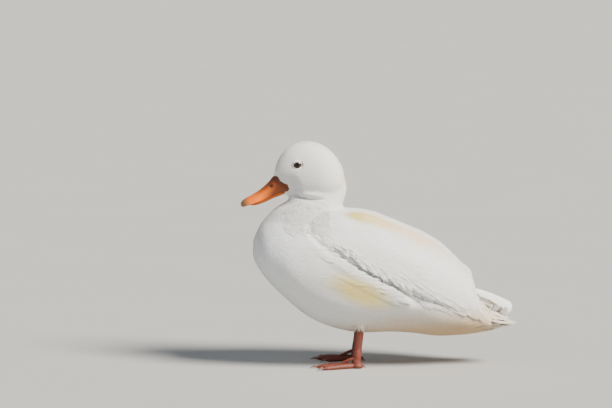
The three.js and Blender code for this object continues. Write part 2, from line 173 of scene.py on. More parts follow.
# Curled feathers over the tail: centre x and z, radii back, up and down, tip x and z, shift aside and half
# width.
CURLS = [
    (-105.8, 59.9, 5.4, 4.3, 4.9, -97, 67, 2.5, 4.4),
    (-111, 58.5, 9.6, 7, 7.6, -97, 71, -3, 5.4),
    (-115.2, 57.5, 12.6, 7.4, 9.2, -96, 74.5, 4, 6.2),
]
CURL_STEPS, CURL_ROUND = 220, 24  # points along and round each finished curl
CURL_TEETH = 72  # short partings along each edge of a curl
CURL_ROOT = (-90, 57.5, 2.2)  # x, z of the first and how far each next one starts lower
CURL_LEAN, CURL_TURN = 25, 58  # lean of the solids' curls in degrees, and how far the finished vanes turn
CURL_REACH = 3.5  # how much further forward the finished tips lie on the rump


# ---------------------------------------------------------------- curves and forms
def turned_over(rib):
    """The rib beyond a tip: its top and bottom change places."""
    top_x, top_z, bottom_x, bottom_z, half = rib
    return (bottom_x, bottom_z, top_x, top_z, -half)


def between(rows, t):
    """A smooth curve through rows of numbers at each share t, which goes round at both tips."""
    last = len(rows) - 1
    padded = np.array([turned_over(rows[1]), *rows, turned_over(rows[-2])], float)
    k = np.clip(np.floor(np.asarray(t) * last).astype(int), 0, last - 1)
    f = (t * last - k)[..., None]
    a, b, c, d = (padded[k + i] for i in range(4))
    return b + 0.5 * f * (c - a + f * (2 * a - 5 * b + 4 * c - d + f * (3 * (b - c) + d - a)))


def bent(value, power):
    return np.sign(value) * np.abs(value) ** power


def rib_points(ribs, section, t, angle):
    """Points in millimetres on the ribs at shares t, at angles round each rib."""
    waist, full, full_below = section
    top_x, top_z, bottom_x, bottom_z, half = np.moveaxis(between(ribs, t), -1, 0)
    sine, cosine = np.sin(angle), np.cos(angle)
    power = np.where(sine > 0, 2 / full, 2 / full_below)
    reach = bent(sine, power)
    rise = waist + reach * np.where(sine > 0, 1 - waist, waist)
    x = bottom_x + (top_x - bottom_x) * rise
    z = bottom_z + (top_z - bottom_z) * rise
    return np.stack([x, half * bent(cosine, power), z], -1)


def trunk_points(t, angle):
    return rib_points(TRUNK_RIBS, TRUNK_SECTION, t, angle)


def trunk_normals(t, angle):
    step = 0.004
    down_body = trunk_points(t + step, angle) - trunk_points(t - step, angle)
    round_body = trunk_points(t, angle + step) - trunk_points(t, angle - step)
    normal = np.cross(down_body, round_body)
    return normal / np.linalg.norm(normal, axis=-1, keepdims=True)


def wing_points(side, s, turn, lift=1.0, rows=WING_ROWS):
    """Points in millimetres on the folded wing, or on the pad between both, which hug the trunk."""
    high_t, high, low_t, low, thick = np.moveaxis(between(rows, s), -1, 0)
    across = (1 + np.cos(turn)) / 2
    t = low_t + (high_t - low_t) * across
    angle = np.radians(low + (high - low) * across)
    off = lift + thick * np.sin(turn)
    return (trunk_points(t, angle) + trunk_normals(t, angle) * off[..., None]) * (1, side, 1)


def smooth(low, high, value):
    """0 below low, 1 above high, and a soft step between."""
    share = np.clip((value - low) / (high - low), 0, 1)
    return share * share * (3 - 2 * share)


def unit(vectors):
    length = np.linalg.norm(vectors, axis=-1, keepdims=True)
    return vectors / np.maximum(length, 1e-9)


# ---------------------------------------------------------------- meshes
def placed(name, data):
    """An object of a mesh, a light or a camera, in the scene."""
    piece = bpy.data.objects.new(name, data)
    bpy.context.scene.collection.objects.link(piece)
    return piece


def mesh_object(name, points, faces):
    """An object from points in metres in the frame."""
    mesh = bpy.data.meshes.new(name)
    mesh.from_pydata([tuple(p) for p in points], [], faces)
    mesh.update()
    return placed(name, mesh)


def closed_form(point_at, around, along):
    """Points and faces of a closed surface: point_at(t, angle) in millimetres, with poles at t 0 and t 1."""
    t = np.linspace(0, 1, along + 1)[1:-1]
    angle = np.linspace(0, 2 * math.pi, around, endpoint=False)
    body = point_at(*np.meshgrid(t, angle, indexing="ij")).reshape(-1, 3)
    poles = point_at(np.array([0.0, 1.0]), np.zeros(2))
    points = np.vstack([body, poles])
    index = np.arange(len(body)).reshape(along - 1, around)
    after = np.roll(index, -1, axis=1)
    quads = np.stack([index[:-1], after[:-1], after[1:], index[1:]], -1).reshape(-1, 4).tolist()
    first, last = len(body), len(body) + 1
    fans = [(first, b, a) for a, b in zip(index[0], after[0])]
    fans += [(last, a, b) for a, b in zip(index[-1], after[-1])]
    return points * MM + SHIFT, [*map(tuple, quads), *[tuple(map(int, fan)) for fan in fans]]


def outwards(piece):
    """Turns every face of a closed mesh outwards."""
    work = bmesh.new()
    work.from_mesh(piece.data)
    bmesh.ops.recalc_face_normals(work, faces=work.faces)
    if work.calc_volume(signed=True) < 0:
        bmesh.ops.reverse_faces(work, faces=work.faces)
    work.to_mesh(piece.data)
    work.free()
    return piece


def form_object(name, point_at, around, along):
    return outwards(mesh_object(name, *closed_form(point_at, around, along)))


def collected(name, sources, weld=0.0):
    """One object from copies of several meshes. Points nearer than weld metres become one."""
    work = bmesh.new()
    for source in sources:
        work.from_mesh(source.data)
    if weld:
        bmesh.ops.remove_doubles(work, verts=work.verts, dist=weld)
    mesh = bpy.data.meshes.new(name)
    work.to_mesh(mesh)
    work.free()
    return placed(name, mesh)


def joined(name, *pieces):
    """One object from several, which are removed."""
    whole = collected(name, pieces)
    for piece in pieces:
        discard(piece)
    return whole


def discard(piece):
    mesh = piece.data
    bpy.data.objects.remove(piece)
    bpy.data.meshes.remove(mesh)


def applied(piece):
    """The piece with its modifiers made into plain mesh."""
    depsgraph = bpy.context.evaluated_depsgraph_get()
    whole = piece.evaluated_get(depsgraph)
    mesh = bpy.data.meshes.new_from_object(whole, preserve_all_data_layers=True, depsgraph=depsgraph)
    piece.modifiers.clear()
    old, piece.data = piece.data, mesh
    bpy.data.meshes.remove(old)
    mesh.name = piece.name
    return piece


def fused(piece, voxel, passes):
    """Overlapping closed forms made one even, smooth surface, with faces of about a voxel in millimetres."""
    remesh = piece.modifiers.new("fuse", "REMESH")
    remesh.mode = "VOXEL"
    remesh.voxel_size = voxel * MM
    soften = piece.modifiers.new("soften", "SMOOTH")
    soften.factor = 0.5
    soften.iterations = passes
    return applied(piece)


def read(items, field):
    flat = np.empty(len(items) * 3)
    items.foreach_get(field, flat)
    return flat.reshape(-1, 3)


def positions(mesh):
    return read(mesh.vertices, "co")


def in_millimetres(points):
    return (points - SHIFT) / MM


def points_and_normals(mesh):
    """Its points in millimetres, and the way out of the surface at each."""
    return in_millimetres(positions(mesh)), read(mesh.vertex_normals, "vector")


def move_points(mesh, points):
    mesh.vertices.foreach_set("co", np.asarray(points, np.float32).ravel())
    mesh.update()


def store(mesh, name, values):
    """Keeps a number or a vector for each vertex, under a name that trees and materials read."""
    kind, field = ("FLOAT_VECTOR", "vector") if values.ndim == 2 else ("FLOAT", "value")
    layer = mesh.attributes.new(name, kind, "POINT")
    layer.data.foreach_set(field, np.ascontiguousarray(values, np.float32).ravel())


def painted(piece, material):
    """Shades a piece smooth, in one material."""
    mesh = piece.data
    mesh.polygons.foreach_set("use_smooth", np.ones(len(mesh.polygons), bool))
    mesh.materials.clear()
    mesh.materials.append(material)


# ---------------------------------------------------------------- node trees
class Nodes:
    """Adds nodes to a tree, each linked as it is made. Sockets are named, or numbered where names repeat."""

    def __init__(self, tree):
        self.tree = tree

    def add(self, kind, inputs=None, **settings):
        node = self.tree.nodes.new(kind)
        for name, value in settings.items():
            setattr(node, name, value)
        for key, value in (inputs or {}).items():
            self.plug(self.socket(node.inputs, key), value)
        return node

    def plug(self, socket, value):
        """Links another node's output to a socket, or sets a plain value on it."""
        if isinstance(value, bpy.types.NodeSocket):
            self.tree.links.new(value, socket)
        else:
            socket.default_value = value

    @staticmethod
    def socket(sockets, key):
        if isinstance(key, int):
            return sockets[key]
        return next(s for s in sockets if s.name == key and s.enabled)

    def out(self, node, key=0):
        if key == 0:
            return next(s for s in node.outputs if s.enabled)
        return self.socket(node.outputs, key)

    def number(self, operation, *values, clamp=False):
        node = self.add("ShaderNodeMath", dict(enumerate(values)), operation=operation, use_clamp=clamp)
        return node.outputs[0]

    def vector(self, operation, *values):
        node = self.add("ShaderNodeVectorMath", operation=operation)
        for index, value in enumerate(values):
            by_scale = operation == "SCALE" and index == 1
            self.plug(node.inputs["Scale" if by_scale else index], value)
        return self.out(node)

    def step(self, value, low, high):
        """0 below low, 1 above high, smooth between."""
        sockets = {"Value": value, "From Min": low, "From Max": high}
        return self.out(self.add("ShaderNodeMapRange", sockets, interpolation_type="SMOOTHSTEP"))

    def mixed(self, share, first, second):
        """The first number or vector where share is 0, the second where it is 1."""
        kind = "VECTOR" if first.type == "VECTOR" else "FLOAT"
        node = self.add("ShaderNodeMix", {"Factor": share, "A": first, "B": second}, data_type=kind)
        return self.out(node)


class Tree(Nodes):
    """A geometry tree with named inputs, each given as name=(socket kind, value)."""

    def __init__(self, name, **inputs):
        super().__init__(bpy.data.node_groups.new(name, "GeometryNodeTree"))
        sides = self.tree.interface
        sides.new_socket("Geometry", in_out="INPUT", socket_type="NodeSocketGeometry")
        for label, (kind, value) in inputs.items():
            socket = sides.new_socket(label, in_out="INPUT", socket_type=f"NodeSocket{kind}")
            if value is not None:
                socket.default_value = value
        sides.new_socket("Geometry", in_out="OUTPUT", socket_type="NodeSocketGeometry")
        self.given = self.tree.nodes.new("NodeGroupInput")

    def input(self, name):
        return self.given.outputs[name]

    def attribute(self, name, kind="FLOAT_VECTOR"):
        node = self.add("GeometryNodeInputNamedAttribute", {"Name": name}, data_type=kind)
        return self.out(node)

    def position(self):
        return self.out(self.add("GeometryNodeInputPosition"))

    def kept(self, geometry, name, value, kind="FLOAT_VECTOR", domain="POINT"):
        """The geometry with a value stored under a name."""
        node = self.add(
            "GeometryNodeStoreNamedAttribute",
            {"Geometry": geometry, "Name": name, "Value": value},
            data_type=kind,
            domain=domain,
        )
        return self.out(node)

    def random(self, low, high, seed):
        node = self.add("FunctionNodeRandomValue", {"Min": low, "Max": high, "Seed": seed}, data_type="FLOAT")
        return self.out(node)

    def beneath(self, surface, name, place):
        """The value stored on the surface at its point nearest to a place."""
        value = self.position() if name == "position" else self.attribute(name)
        node = self.add(
            "GeometryNodeSampleNearestSurface",
            {"Mesh": surface, "Value": value, "Sample Position": place},
            data_type="FLOAT_VECTOR",
        )
        return self.out(node, "Value")

    def end(self, geometry, material):
        """Instances made real, a smooth finish and a material: every tree ends so."""
        real = self.out(self.add("GeometryNodeRealizeInstances", {"Geometry": geometry}))
        soft = self.out(self.add("GeometryNodeSetShadeSmooth", {"Geometry": real}))
        done = self.add("GeometryNodeSetMaterial", {"Geometry": soft, "Material": material})
        self.add("NodeGroupOutput", {"Geometry": self.out(done)})


def grow(piece, tree, **values):
    """Runs a tree on a piece and leaves plain mesh."""
    modifier = piece.modifiers.new(tree.name, "NODES")
    modifier.node_group = tree
    for item in tree.interface.items_tree:
        if item.in_out == "INPUT" and item.name in values:
            modifier[item.identifier] = values[item.name]
    return applied(piece)


class Finish(Nodes):
    """A material under construction, with its shader ready."""

    def __init__(self, name, **sockets):
        self.material = bpy.data.materials.new(name)
        self.material.use_nodes = True
        super().__init__(self.material.node_tree)
        self.shader = self.tree.nodes["Principled BSDF"]
        for label, value in sockets.items():
            self.shader.inputs[label.replace("_", " ")].default_value = value

    def feed(self, name, socket):
        self.tree.links.new(socket, self.shader.inputs[name])

    def place(self):
        return self.add("ShaderNodeTexCoord").outputs["Object"]

    def attribute(self, name):
        return self.add("ShaderNodeAttribute", attribute_name=name).outputs["Fac"]

    def noise(self, vector, scale, detail=3.0):
        sockets = {"Vector": vector, "Scale": scale, "Detail": detail}
        return self.add("ShaderNodeTexNoise", sockets).outputs[0]

    def tinted(self, share, first, second, blend="MIX"):
        """The first colour where share is 0, the second where it is 1. Each is a colour or a socket."""
        node = self.add("ShaderNodeMix", data_type="RGBA", blend_type=blend)
        for key, value in (("Factor", share), ("A", first), ("B", second)):
            self.plug(self.socket(node.inputs, key), (*value, 1) if isinstance(value, tuple) else value)
        return self.out(node)

    def relief(self, height, strength, distance):
        sockets = {"Height": height, "Strength": strength, "Distance": distance}
        self.feed("Normal", self.add("ShaderNodeBump", sockets).outputs[0])


# ---------------------------------------------------------------- finishes
# Stains, warm patches and painted shade in the white: centre, radii and tilt in degrees of each, its colour
# and strength.
STAINS_AND_PAINTED_SHADE = [
    ((19, 24, 150), (24, 20, 10.5), 12, (0.66, 0.47, 0.08), 1.0),  # oily yellow on the back
    ((-2, 24, 144), (38, 20, 12), 18, (0.88, 0.66, 0.32), 1.0),
    ((-38, 22, 127), (46, 24, 17), 28, (0.93, 0.73, 0.55), 1.0),
    ((20, 56, 78), (48, 28, 19), 24, (0.85, 0.67, 0.24), 1.0),  # flank under the wing
    ((18, -56, 78), (40, 26, 16), 24, (0.88, 0.75, 0.38), 0.7),
    ((-40, 0, 24), (124, 90, 60), 0, (0.63, 0.40, 0.19), 0.9),  # under the tail and belly: painted shade and warm reflected light
    ((-76, 0, 34), (64, 60, 38), 0, (0.56, 0.34, 0.15), 0.95),
    ((42, 0, 190), (28, 34, 34), 0, (0.91, 0.80, 0.64), 0.55),  # back of the head and nape
    ((88, 20, 178), (26, 26, 20), 0, (0.80, 0.80, 0.86), 0.25),  # cheeks and breast cooled: painted cool shade
    ((90, 0, 112), (50, 68, 50), 0, (0.74, 0.78, 0.87), 0.65),
]
WHITE = (0.87, 0.855, 0.82)


def stained_and_shaded_white(finish):
    """White plumage with its stains and painted shade, the same on the skin and on every vane over it."""
    place = finish.place()
    colour = finish.tinted(finish.noise(place, 45.0), (0.84, 0.82, 0.78), WHITE)
    # Stains and patches of painted shade alike are laid over the white here.
    for centre, radii, tilt, stain_and_shade_colour, strength in STAINS_AND_PAINTED_SHADE:
        middle = SHIFT + np.array(centre) * MM
        sockets = {
            "Vector": place,
            "Location": tuple(middle),
            "Rotation": (0, math.radians(-tilt), 0),
            "Scale": tuple(r * MM for r in radii),
        }
        mapped = finish.add("ShaderNodeMapping", sockets, vector_type="TEXTURE").outputs[0]
        ragged = finish.vector("SCALE", finish.add("ShaderNodeTexNoise", {"Scale": 90.0}).outputs[1], 0.5)
        mapped = finish.vector("ADD", mapped, finish.vector("SUBTRACT", ragged, (0.25, 0.25, 0.25)))
        ball = finish.add("ShaderNodeTexGradient", {"Vector": mapped}, gradient_type="SPHERICAL").outputs[1]
        share = finish.number("MULTIPLY", finish.step(ball, 0.0, 0.75), strength)
        colour = finish.tinted(share, colour, stain_and_shade_colour)
    return colour


BARB_PITCH = 0.0007  # metres between barbs


def feather_finish(name, barbs=1.0):
    """White vanes with fine slanting barbs, a shaft and painted shade towards the root."""
    finish = Finish(
        name,
        Roughness=0.68,
        Specular_IOR_Level=0.25,
        Sheen_Weight=0.3,
        Sheen_Roughness=0.45,
        Subsurface_Weight=0.12,
        Subsurface_Scale=0.003,
    )
    vane = finish.add("ShaderNodeAttribute", attribute_name="vane")
    tint, span, girth = (finish.attribute(label) for label in ("tint", "span", "girth"))
    parts = finish.add("ShaderNodeSeparateXYZ", {"Vector": vane.outputs["Vector"]})
    along, aside = parts.outputs[1], finish.number("ABSOLUTE", parts.outputs[0])
    # Painted shade: each vane darkens a little towards its root, where the vanes over it would shade it.
    root_painted_shade = finish.number("MULTIPLY_ADD", finish.step(along, 0.0, 0.8), 0.08, 0.92)
    tone_with_root_shade = finish.number("MULTIPLY", tint, root_painted_shade)
    tone_with_root_shade_grey = finish.add("ShaderNodeCombineColor", {"Red": tone_with_root_shade, "Green": tone_with_root_shade, "Blue": tone_with_root_shade}).outputs[0]
    finish.feed("Base Color", finish.tinted(1.0, stained_and_shaded_white(finish), tone_with_root_shade_grey, blend="MULTIPLY"))
    up_vane, off_shaft = finish.number("MULTIPLY", along, span), finish.number("MULTIPLY", aside, girth)
    slant = finish.number("SUBTRACT", up_vane, off_shaft)
    wave = finish.number("MULTIPLY", slant, 2 * math.pi / BARB_PITCH)
    wave = finish.number("MULTIPLY_ADD", finish.noise(finish.place(), 260.0), 9.0, wave)
    shaft = finish.number("MULTIPLY", finish.step(aside, 0.09, 0.0), 3.0)
    finish.relief(finish.number("ADD", finish.number("SINE", wave), shaft), 0.12 * barbs, 0.00012)
    return finish.material


def skin_finish():
    """Down under the coat, and the bare pale rims of the lids."""
    finish = Finish("down and lids", Roughness=0.8, Sheen_Weight=0.3)
    bare = finish.attribute("bare")
    finish.feed("Base Color", finish.tinted(bare, stained_and_shaded_white(finish), (0.70, 0.56, 0.44)))
    finish.relief(finish.noise(finish.place(), 900.0), 0.3, 0.0003)
    return finish.material


# ---------------------------------------------------------------- the skin
# Where the shoulder feathers end over the flank: x and z of the fold, from the breast backwards.
FOLD = [(58, 124), (43, 119), (29, 109), (9.5, 96), (-10, 86), (-24, 77), (-36, 69)]
# The lower edge of all that lies on the back: the fold, and beyond it the folded wing's own edge.
MANTLE_EDGE = [(64, 158), (60, 140), *FOLD, (-60, 60), (-96, 50)]
CHIN_FOLD = [(97, 171), (85, 168.4), (70, 166.5), (50, 166)]
WING_POCKET = (-36.5, 67, 5.5, 3.5)  # x, z and half sizes of the hollow where flank and wing part
BILL_EDGE = [(103.5, 192), (100.5, 186.5), (97.5, 181.5), (91.5, 177.8), (89.4, 174.5), (90.5, 170.5)]
# How far the plumage settles between the wings' upper edges: x and the drop, from the rump to the neck.
BACK_DROP = [
    *((-92, 3.0), (-84, 4.0), (-73, 3.2), (-62, 2.3), (-49, 3.0), (-28, 4.5), (-8, 3.8)),
    *((4, 2.1), (20, 1.6), (30, 2.4), (40, 3.6)),
]
LID = (3.85, 3.05, -8)  # half length and half height of the eye's opening, and its dip in degrees
# Grooves and swells beside a fold: how deep or high, how far below its line and half how wide.
FLANK_GROOVE, FLANK_SWELL = (3.6, 0.8, 2.5), (1.1, 10.5, 5.5)
CHIN_GROOVE, CHEEK_SWELL, THROAT_SWELL = (4.2, 0.4, 1.35), (1.0, -3.6, 2.4), (0.6, 5.5, 3)
BREAST_SWELL = (0.9, 137, 9)  # how high, at which z and half how tall
NAPE = (34, 157, 6, 6)  # x, z and half sizes of the dip where the neck meets the back
SKIN_VOXEL = 1.36  # keeps the skin under 200,000 triangles


def beside(line, x, z):
    """How far points lie below a line of x and z, negative above it, and their share along it."""
    best = np.full(x.shape, 1e9)
    below, share = np.zeros(x.shape), np.zeros(x.shape)
    for k, (a, b) in enumerate(zip(line, line[1:])):
        run = np.subtract(b, a)
        length = np.hypot(*run)
        u = np.clip(((x - a[0]) * run[0] + (z - a[1]) * run[1]) / length**2, 0, 1)
        off_x, off_z = x - a[0] - u * run[0], z - a[1] - u * run[1]
        distance = np.hypot(off_x, off_z)
        closer = distance < best
        side = np.sign(run[0] * off_z - run[1] * off_x)  # the line runs towards -X, so below is positive
        best = np.where(closer, distance, best)
        below = np.where(closer, side * distance, below)
        share = np.where(closer, (k + u) / (len(line) - 1), share)
    return below, share


def near_wing(points):
    """1 where points in millimetres lie on the folded wings, falling to 0 within a few millimetres."""
    s, turn = np.meshgrid(np.linspace(0.02, 0.98, 70), np.linspace(0, math.pi, 60), indexing="ij")
    reach = np.zeros(len(points))
    for side, rows in (*((side, WING_ROWS) for side in SIDES.values()), (1, PAD_ROWS)):
        wing = wing_points(side, s, turn, rows=rows).reshape(-1, 3)
        tree = BVHTree.FromPolygons([tuple(p) for p in wing], grid_faces(*s.shape))
        near = np.array([tree.find_nearest(Vector(p), 12.0)[3] or 12.0 for p in points])
        reach = np.maximum(reach, 1 - smooth(1.0, 4.5, near))
    return reach


def grid_faces(rows, columns):
    index = np.arange(rows * columns).reshape(rows, columns)
    corners = np.stack([index[:-1, :-1], index[1:, :-1], index[1:, 1:], index[:-1, 1:]], -1)
    return [tuple(face) for face in corners.reshape(-1, 4).tolist()]


def region_shares(points, wing):
    """How far each point in millimetres belongs to the head, neck, mantle, thighs and wings."""
    x, y, z = points.T
    head = smooth(162, 170, z)
    neck = (1 - head) * smooth(132, 150, z) * smooth(20, 38, x)
    thigh = (1 - smooth(50, 60, z)) * (1 - smooth(14, 20, np.hypot(x - 20, np.abs(y) - LEG_Y)))
    body = (1 - head) * (1 - neck)
    mantle = body * smooth(2, -2, beside(MANTLE_EDGE, x, z)[0])
    return {"head": head, "neck": neck, "thigh": thigh, "wing": wing * body, "mantle": mantle}


def coat_lie(points, out, share):
    """Which way the feathers point, from root to tip, along the surface."""
    x, y, z = points.T
    from_bill = unit(points - (112, 0, 184)) + np.outer(smooth(75, 38, x) * smooth(215, 180, z), (0, 0, -0.9))
    body = np.array([-1.0, 0, -0.3]) + np.outer(smooth(70, 118, x) * smooth(60, 110, z), (0.45, 0, -0.5))
    lie = (
        body * (1 - share["head"] - share["neck"])[:, None]
        + from_bill * share["head"][:, None]
        + np.outer(share["neck"], (-0.4, 0, -1))
        + np.outer(share["thigh"], (0.2, 0, -1.6))
        + np.outer(share["mantle"] * (0.2 + 0.5 * smooth(-70, 30, x)) * smooth(4, 30, np.abs(y)), (0, 0, -1))
    )
    eye = np.array(EYE) * np.stack([np.ones(len(y)), np.sign(y), np.ones(len(y))], -1)
    to_eye = eye - points
    close = 1 - smooth(4.6, 11.6, np.hypot(to_eye[:, 0], to_eye[:, 2]))
    inward = unit(to_eye)
    lie -= inward * (np.maximum(0, (unit(lie) * inward).sum(1)) * close * share["head"])[:, None]
    lie -= out * (lie * out).sum(1)[:, None]
    sway = 0.16 * np.sin(0.11 * x + 0.07 * z + 0.05 * y) + 0.1 * np.sin(0.23 * z - 0.17 * x + 1.3)
    aside = np.cross(out, unit(lie))
    return unit(unit(lie) * np.cos(sway)[:, None] + aside * np.sin(sway)[:, None])


def eye_shares(points):
    """How far out each point lies from the middle of the eye's opening, 1 at its edge."""
    half_long, half_high, dip = LID
    c, s = math.cos(math.radians(dip)), math.sin(math.radians(dip))
    off_x, off_z = points[:, 0] - EYE[0], points[:, 2] - EYE[2]
    along, up = np.abs(off_x * c + off_z * s), np.abs(off_z * c - off_x * s)
    return ((along / half_long) ** 1.75 + (up / half_high) ** 1.9) ** 0.55


def refined(mesh, near, *reaches):
    """Splits faces in half once for each reach, where near(points) in millimetres is less than it."""
    for reach in reaches:
        work = bmesh.new()
        work.from_mesh(mesh)
        middles = in_millimetres(np.array([face.calc_center_median() for face in work.faces]))
        work.faces.ensure_lookup_table()
        edges = {edge for k in np.flatnonzero(near(middles) < reach) for edge in work.faces[k].edges}
        bmesh.ops.subdivide_edges(work, edges=list(edges), cuts=1, use_grid_fill=True)
        work.to_mesh(mesh)
        work.free()


def off_eyes(points):
    far = 99.0 * (np.abs(points[:, 1]) < EYE_SIDE)
    return np.hypot(points[:, 0] - EYE[0], points[:, 2] - EYE[2]) + far


def off_chin_fold(points):
    below, run = beside(CHIN_FOLD, points[:, 0], points[:, 2])
    return np.abs(below) + 99.0 * ((np.abs(points[:, 1]) < 4) | (run <= 0) | (run >= 1))


BILL_COURSE = between(BILL_RIBS, np.linspace(0.1, 1, 400))  # the upper bill's ribs, close together


def up_bill(x, z):
    """How far up the upper bill's side a place seen from the side lies, 0 at its edge and 1 on top."""
    top, bottom = np.interp(x, *BILL_COURSE.T[:2]), np.interp(x, *BILL_COURSE.T[2:4])
    return (z - bottom) / np.maximum(top - bottom, 0.5)


def bill_half(x, z):
    """Half the upper bill's width at a place seen from the side."""
    x = np.maximum(x, 91)
    waist = BILL_SECTION[0]
    rise = ((up_bill(x, z) - waist) / (1 - waist)).clip(0, 1)
    middle = (BILL_COURSE[:, 0] + BILL_COURSE[:, 2]) / 2
    return np.interp(x, middle, BILL_COURSE[:, 4]) * np.sqrt(1 - rise**2)


def beyond_bill_edge(points):
    """How far points lie in front of the line where the face's feathers end on the bill."""
    x, _, z = points.T
    ahead = beside(BILL_EDGE, x, z)[0]
    return np.where((z > 165) & (z < 192.5), ahead, -99)


def cheeks_in(points):
    """Narrows the face towards the bill, which stands clear of the skin in front of its edge."""
    x, y, z = points.T
    beyond = beyond_bill_edge(points)
    share = smooth(-15, -0.8, beyond) * smooth(165, 171, z) * smooth(191, 185, z)
    crest = (4.5 - 1.1 * beyond).clip(0.4, 4.5) * smooth(182, 185, z)  # a point of feathers on the bill
    spare = (np.abs(y) - np.maximum(bill_half(x, z), crest) - 0.4 + 1.2 * smooth(-0.7, 0.4, beyond)).clip(0)
    return np.stack([x, np.sign(y) * (np.abs(y) - share * spare), z], -1)


def lids_over(points):
    """Draws the skin over the eyeballs and leaves an opening with a raised rim."""
    x, y, z = points.T
    side = np.sign(y)
    share = eye_shares(points)
    near = (np.abs(y) > EYE_SIDE) & (share < 1.7)
    room = EYE_RADIUS**2 - (x - EYE[0]) ** 2 - (z - EYE[2]) ** 2
    ball = EYE[1] + np.sqrt(room.clip(1.5))
    edge = smooth(0.9, 1.06, share)
    lid = ball - 0.9 * (1 - edge) + edge * (0.42 + 0.15 * (z > EYE[2]))
    held = near * (1 - smooth(1.15, 1.6, share))
    over = np.abs(y) * (1 - held) + lid * held
    covered = near & (share > 1.02) & (room > 1.5)
    return np.stack([x, side * np.where(covered, np.maximum(over, ball + 0.3), over), z], -1)


def build_skin():
    """One surface under the plumage of the trunk, neck, head, wings and thighs."""
    forms = [
        form_object("pad_form", lambda s, a: wing_points(1, s, a, rows=PAD_ROWS), 60, 60),
        form_object("trunk_form", trunk_points, 150, 150),
        form_object("neck_form", lambda t, a: rib_points(NECK_RIBS, NECK_SECTION, t, a), 90, 60),
        form_object("head_form", lambda t, a: rib_points(HEAD_RIBS, HEAD_SECTION, t, a), 90, 80),
    ]
    for side in SIDES.values():
        aside = np.array([0, side * LEG_Y, 0])
        forms.append(form_object("wing_form", lambda s, a, side=side: wing_points(side, s, a), 60, 80))
        forms.append(
            form_object(
                "thigh_form",
                lambda t, a, aside=aside: rib_points(THIGH_RIBS, (0.5, 2, 2), t, a) + aside,
                50,
                40,
            )
        )
    skin = fused(joined("skin", *forms), SKIN_VOXEL, 5)
    refined(skin.data, off_eyes, 9.5, 7.5, 6.2)
    refined(skin.data, off_chin_fold, 5.0)
    refined(skin.data, lambda points: np.abs(beyond_bill_edge(points)), 2.6, 1.6)
    sculpt_skin(skin.data)
    painted(skin, skin_finish())
    unwrap(skin)
    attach(skin, "root")
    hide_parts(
        "trunk", "neck", "head", *[f"{part}_{tag}" for tag in SIDES for part in ("thigh", "wing")]
    )
    return skin


def bump(value, height, middle, half):
    """A soft rise to a height where a value is at the middle, gone at about twice the half width."""
    return height * np.exp(-(((value - middle) / half) ** 2))


def spot(x, z, middle_x, middle_z, half_x, half_z):
    """1 at one place seen from the side, fading round it."""
    return np.exp(-(((x - middle_x) / half_x) ** 2) - ((z - middle_z) / half_z) ** 2)


def sculpt_skin(mesh):
    """Sinks the surface by the coat's depth, folds it, draws the lids and stores what the coat follows."""
    points, out = points_and_normals(mesh)
    share = region_shares(points, near_wing(points))
    x, y, z = points.T
    off, wing, up = np.abs(y), share["wing"], out[:, 2]
    depth = 0.7 - 0.2 * share["head"] + 0.2 * share["neck"] + 1.3 * wing + 1.17 * smooth(51, 57, off)
    above_edge = -beside(MANTLE_EDGE, x, z)[0]
    on_wing = smooth(-22, -34, x) * smooth(0.1, 0.6, wing)
    depth += 2.7 * on_wing * smooth(6.5, 1.5, above_edge)  # the flight feathers' tips hang over this step
    depth += 3.0 * smooth(-114, -126, x)
    depth -= 1.6 * smooth(-30, -60, x) * smooth(-120, -108, x) * smooth(-0.3, -0.7, up)
    below, run = beside(FOLD, x, z)
    flank = smooth(25, 36, off) * (1 - share["neck"])
    flank = flank * smooth(0.02, 0.3, run) * (1 - smooth(0.93, 1.0, run))
    depth += flank * (bump(below, *FLANK_GROOVE) - bump(below, *FLANK_SWELL))
    in_groove = (flank > 0.15) & (below < 3.0) & (below > np.where(share["mantle"] > 0.5, -6.5, -1.5))
    depth += 2.6 * spot(x, z, *WING_POCKET) * smooth(20, 30, off)
    below, run = beside(CHIN_FOLD, x, z)
    cheek = smooth(5, 10, off) * smooth(0.0, 0.1, run) * (1 - smooth(0.7, 1.0, run))
    swells = bump(below, *CHEEK_SWELL) + bump(below, *THROAT_SWELL)
    depth += cheek * (bump(below, *CHIN_GROOVE) - swells)
    in_fold = (cheek > 0.5) & (np.abs(below - CHIN_GROOVE[1]) < 0.7)
    depth += 1.7 * wing * smooth(30, 56, x)  # the shoulder runs out into the breast
    depth -= bump(z, *BREAST_SWELL) * smooth(0.5, 0.9, out[:, 0])
    depth += 2.6 * spot(x, z, *NAPE) * smooth(0.35, 0.75, up)
    depth += np.interp(x, *zip(*BACK_DROP)) * wing * smooth(0.35, 0.85, up)
    points = lids_over(cheeks_in(points - out * depth[:, None]))
    move_points(mesh, points * MM + SHIFT)
    store_guides(mesh, share, above_edge, in_groove, in_fold)


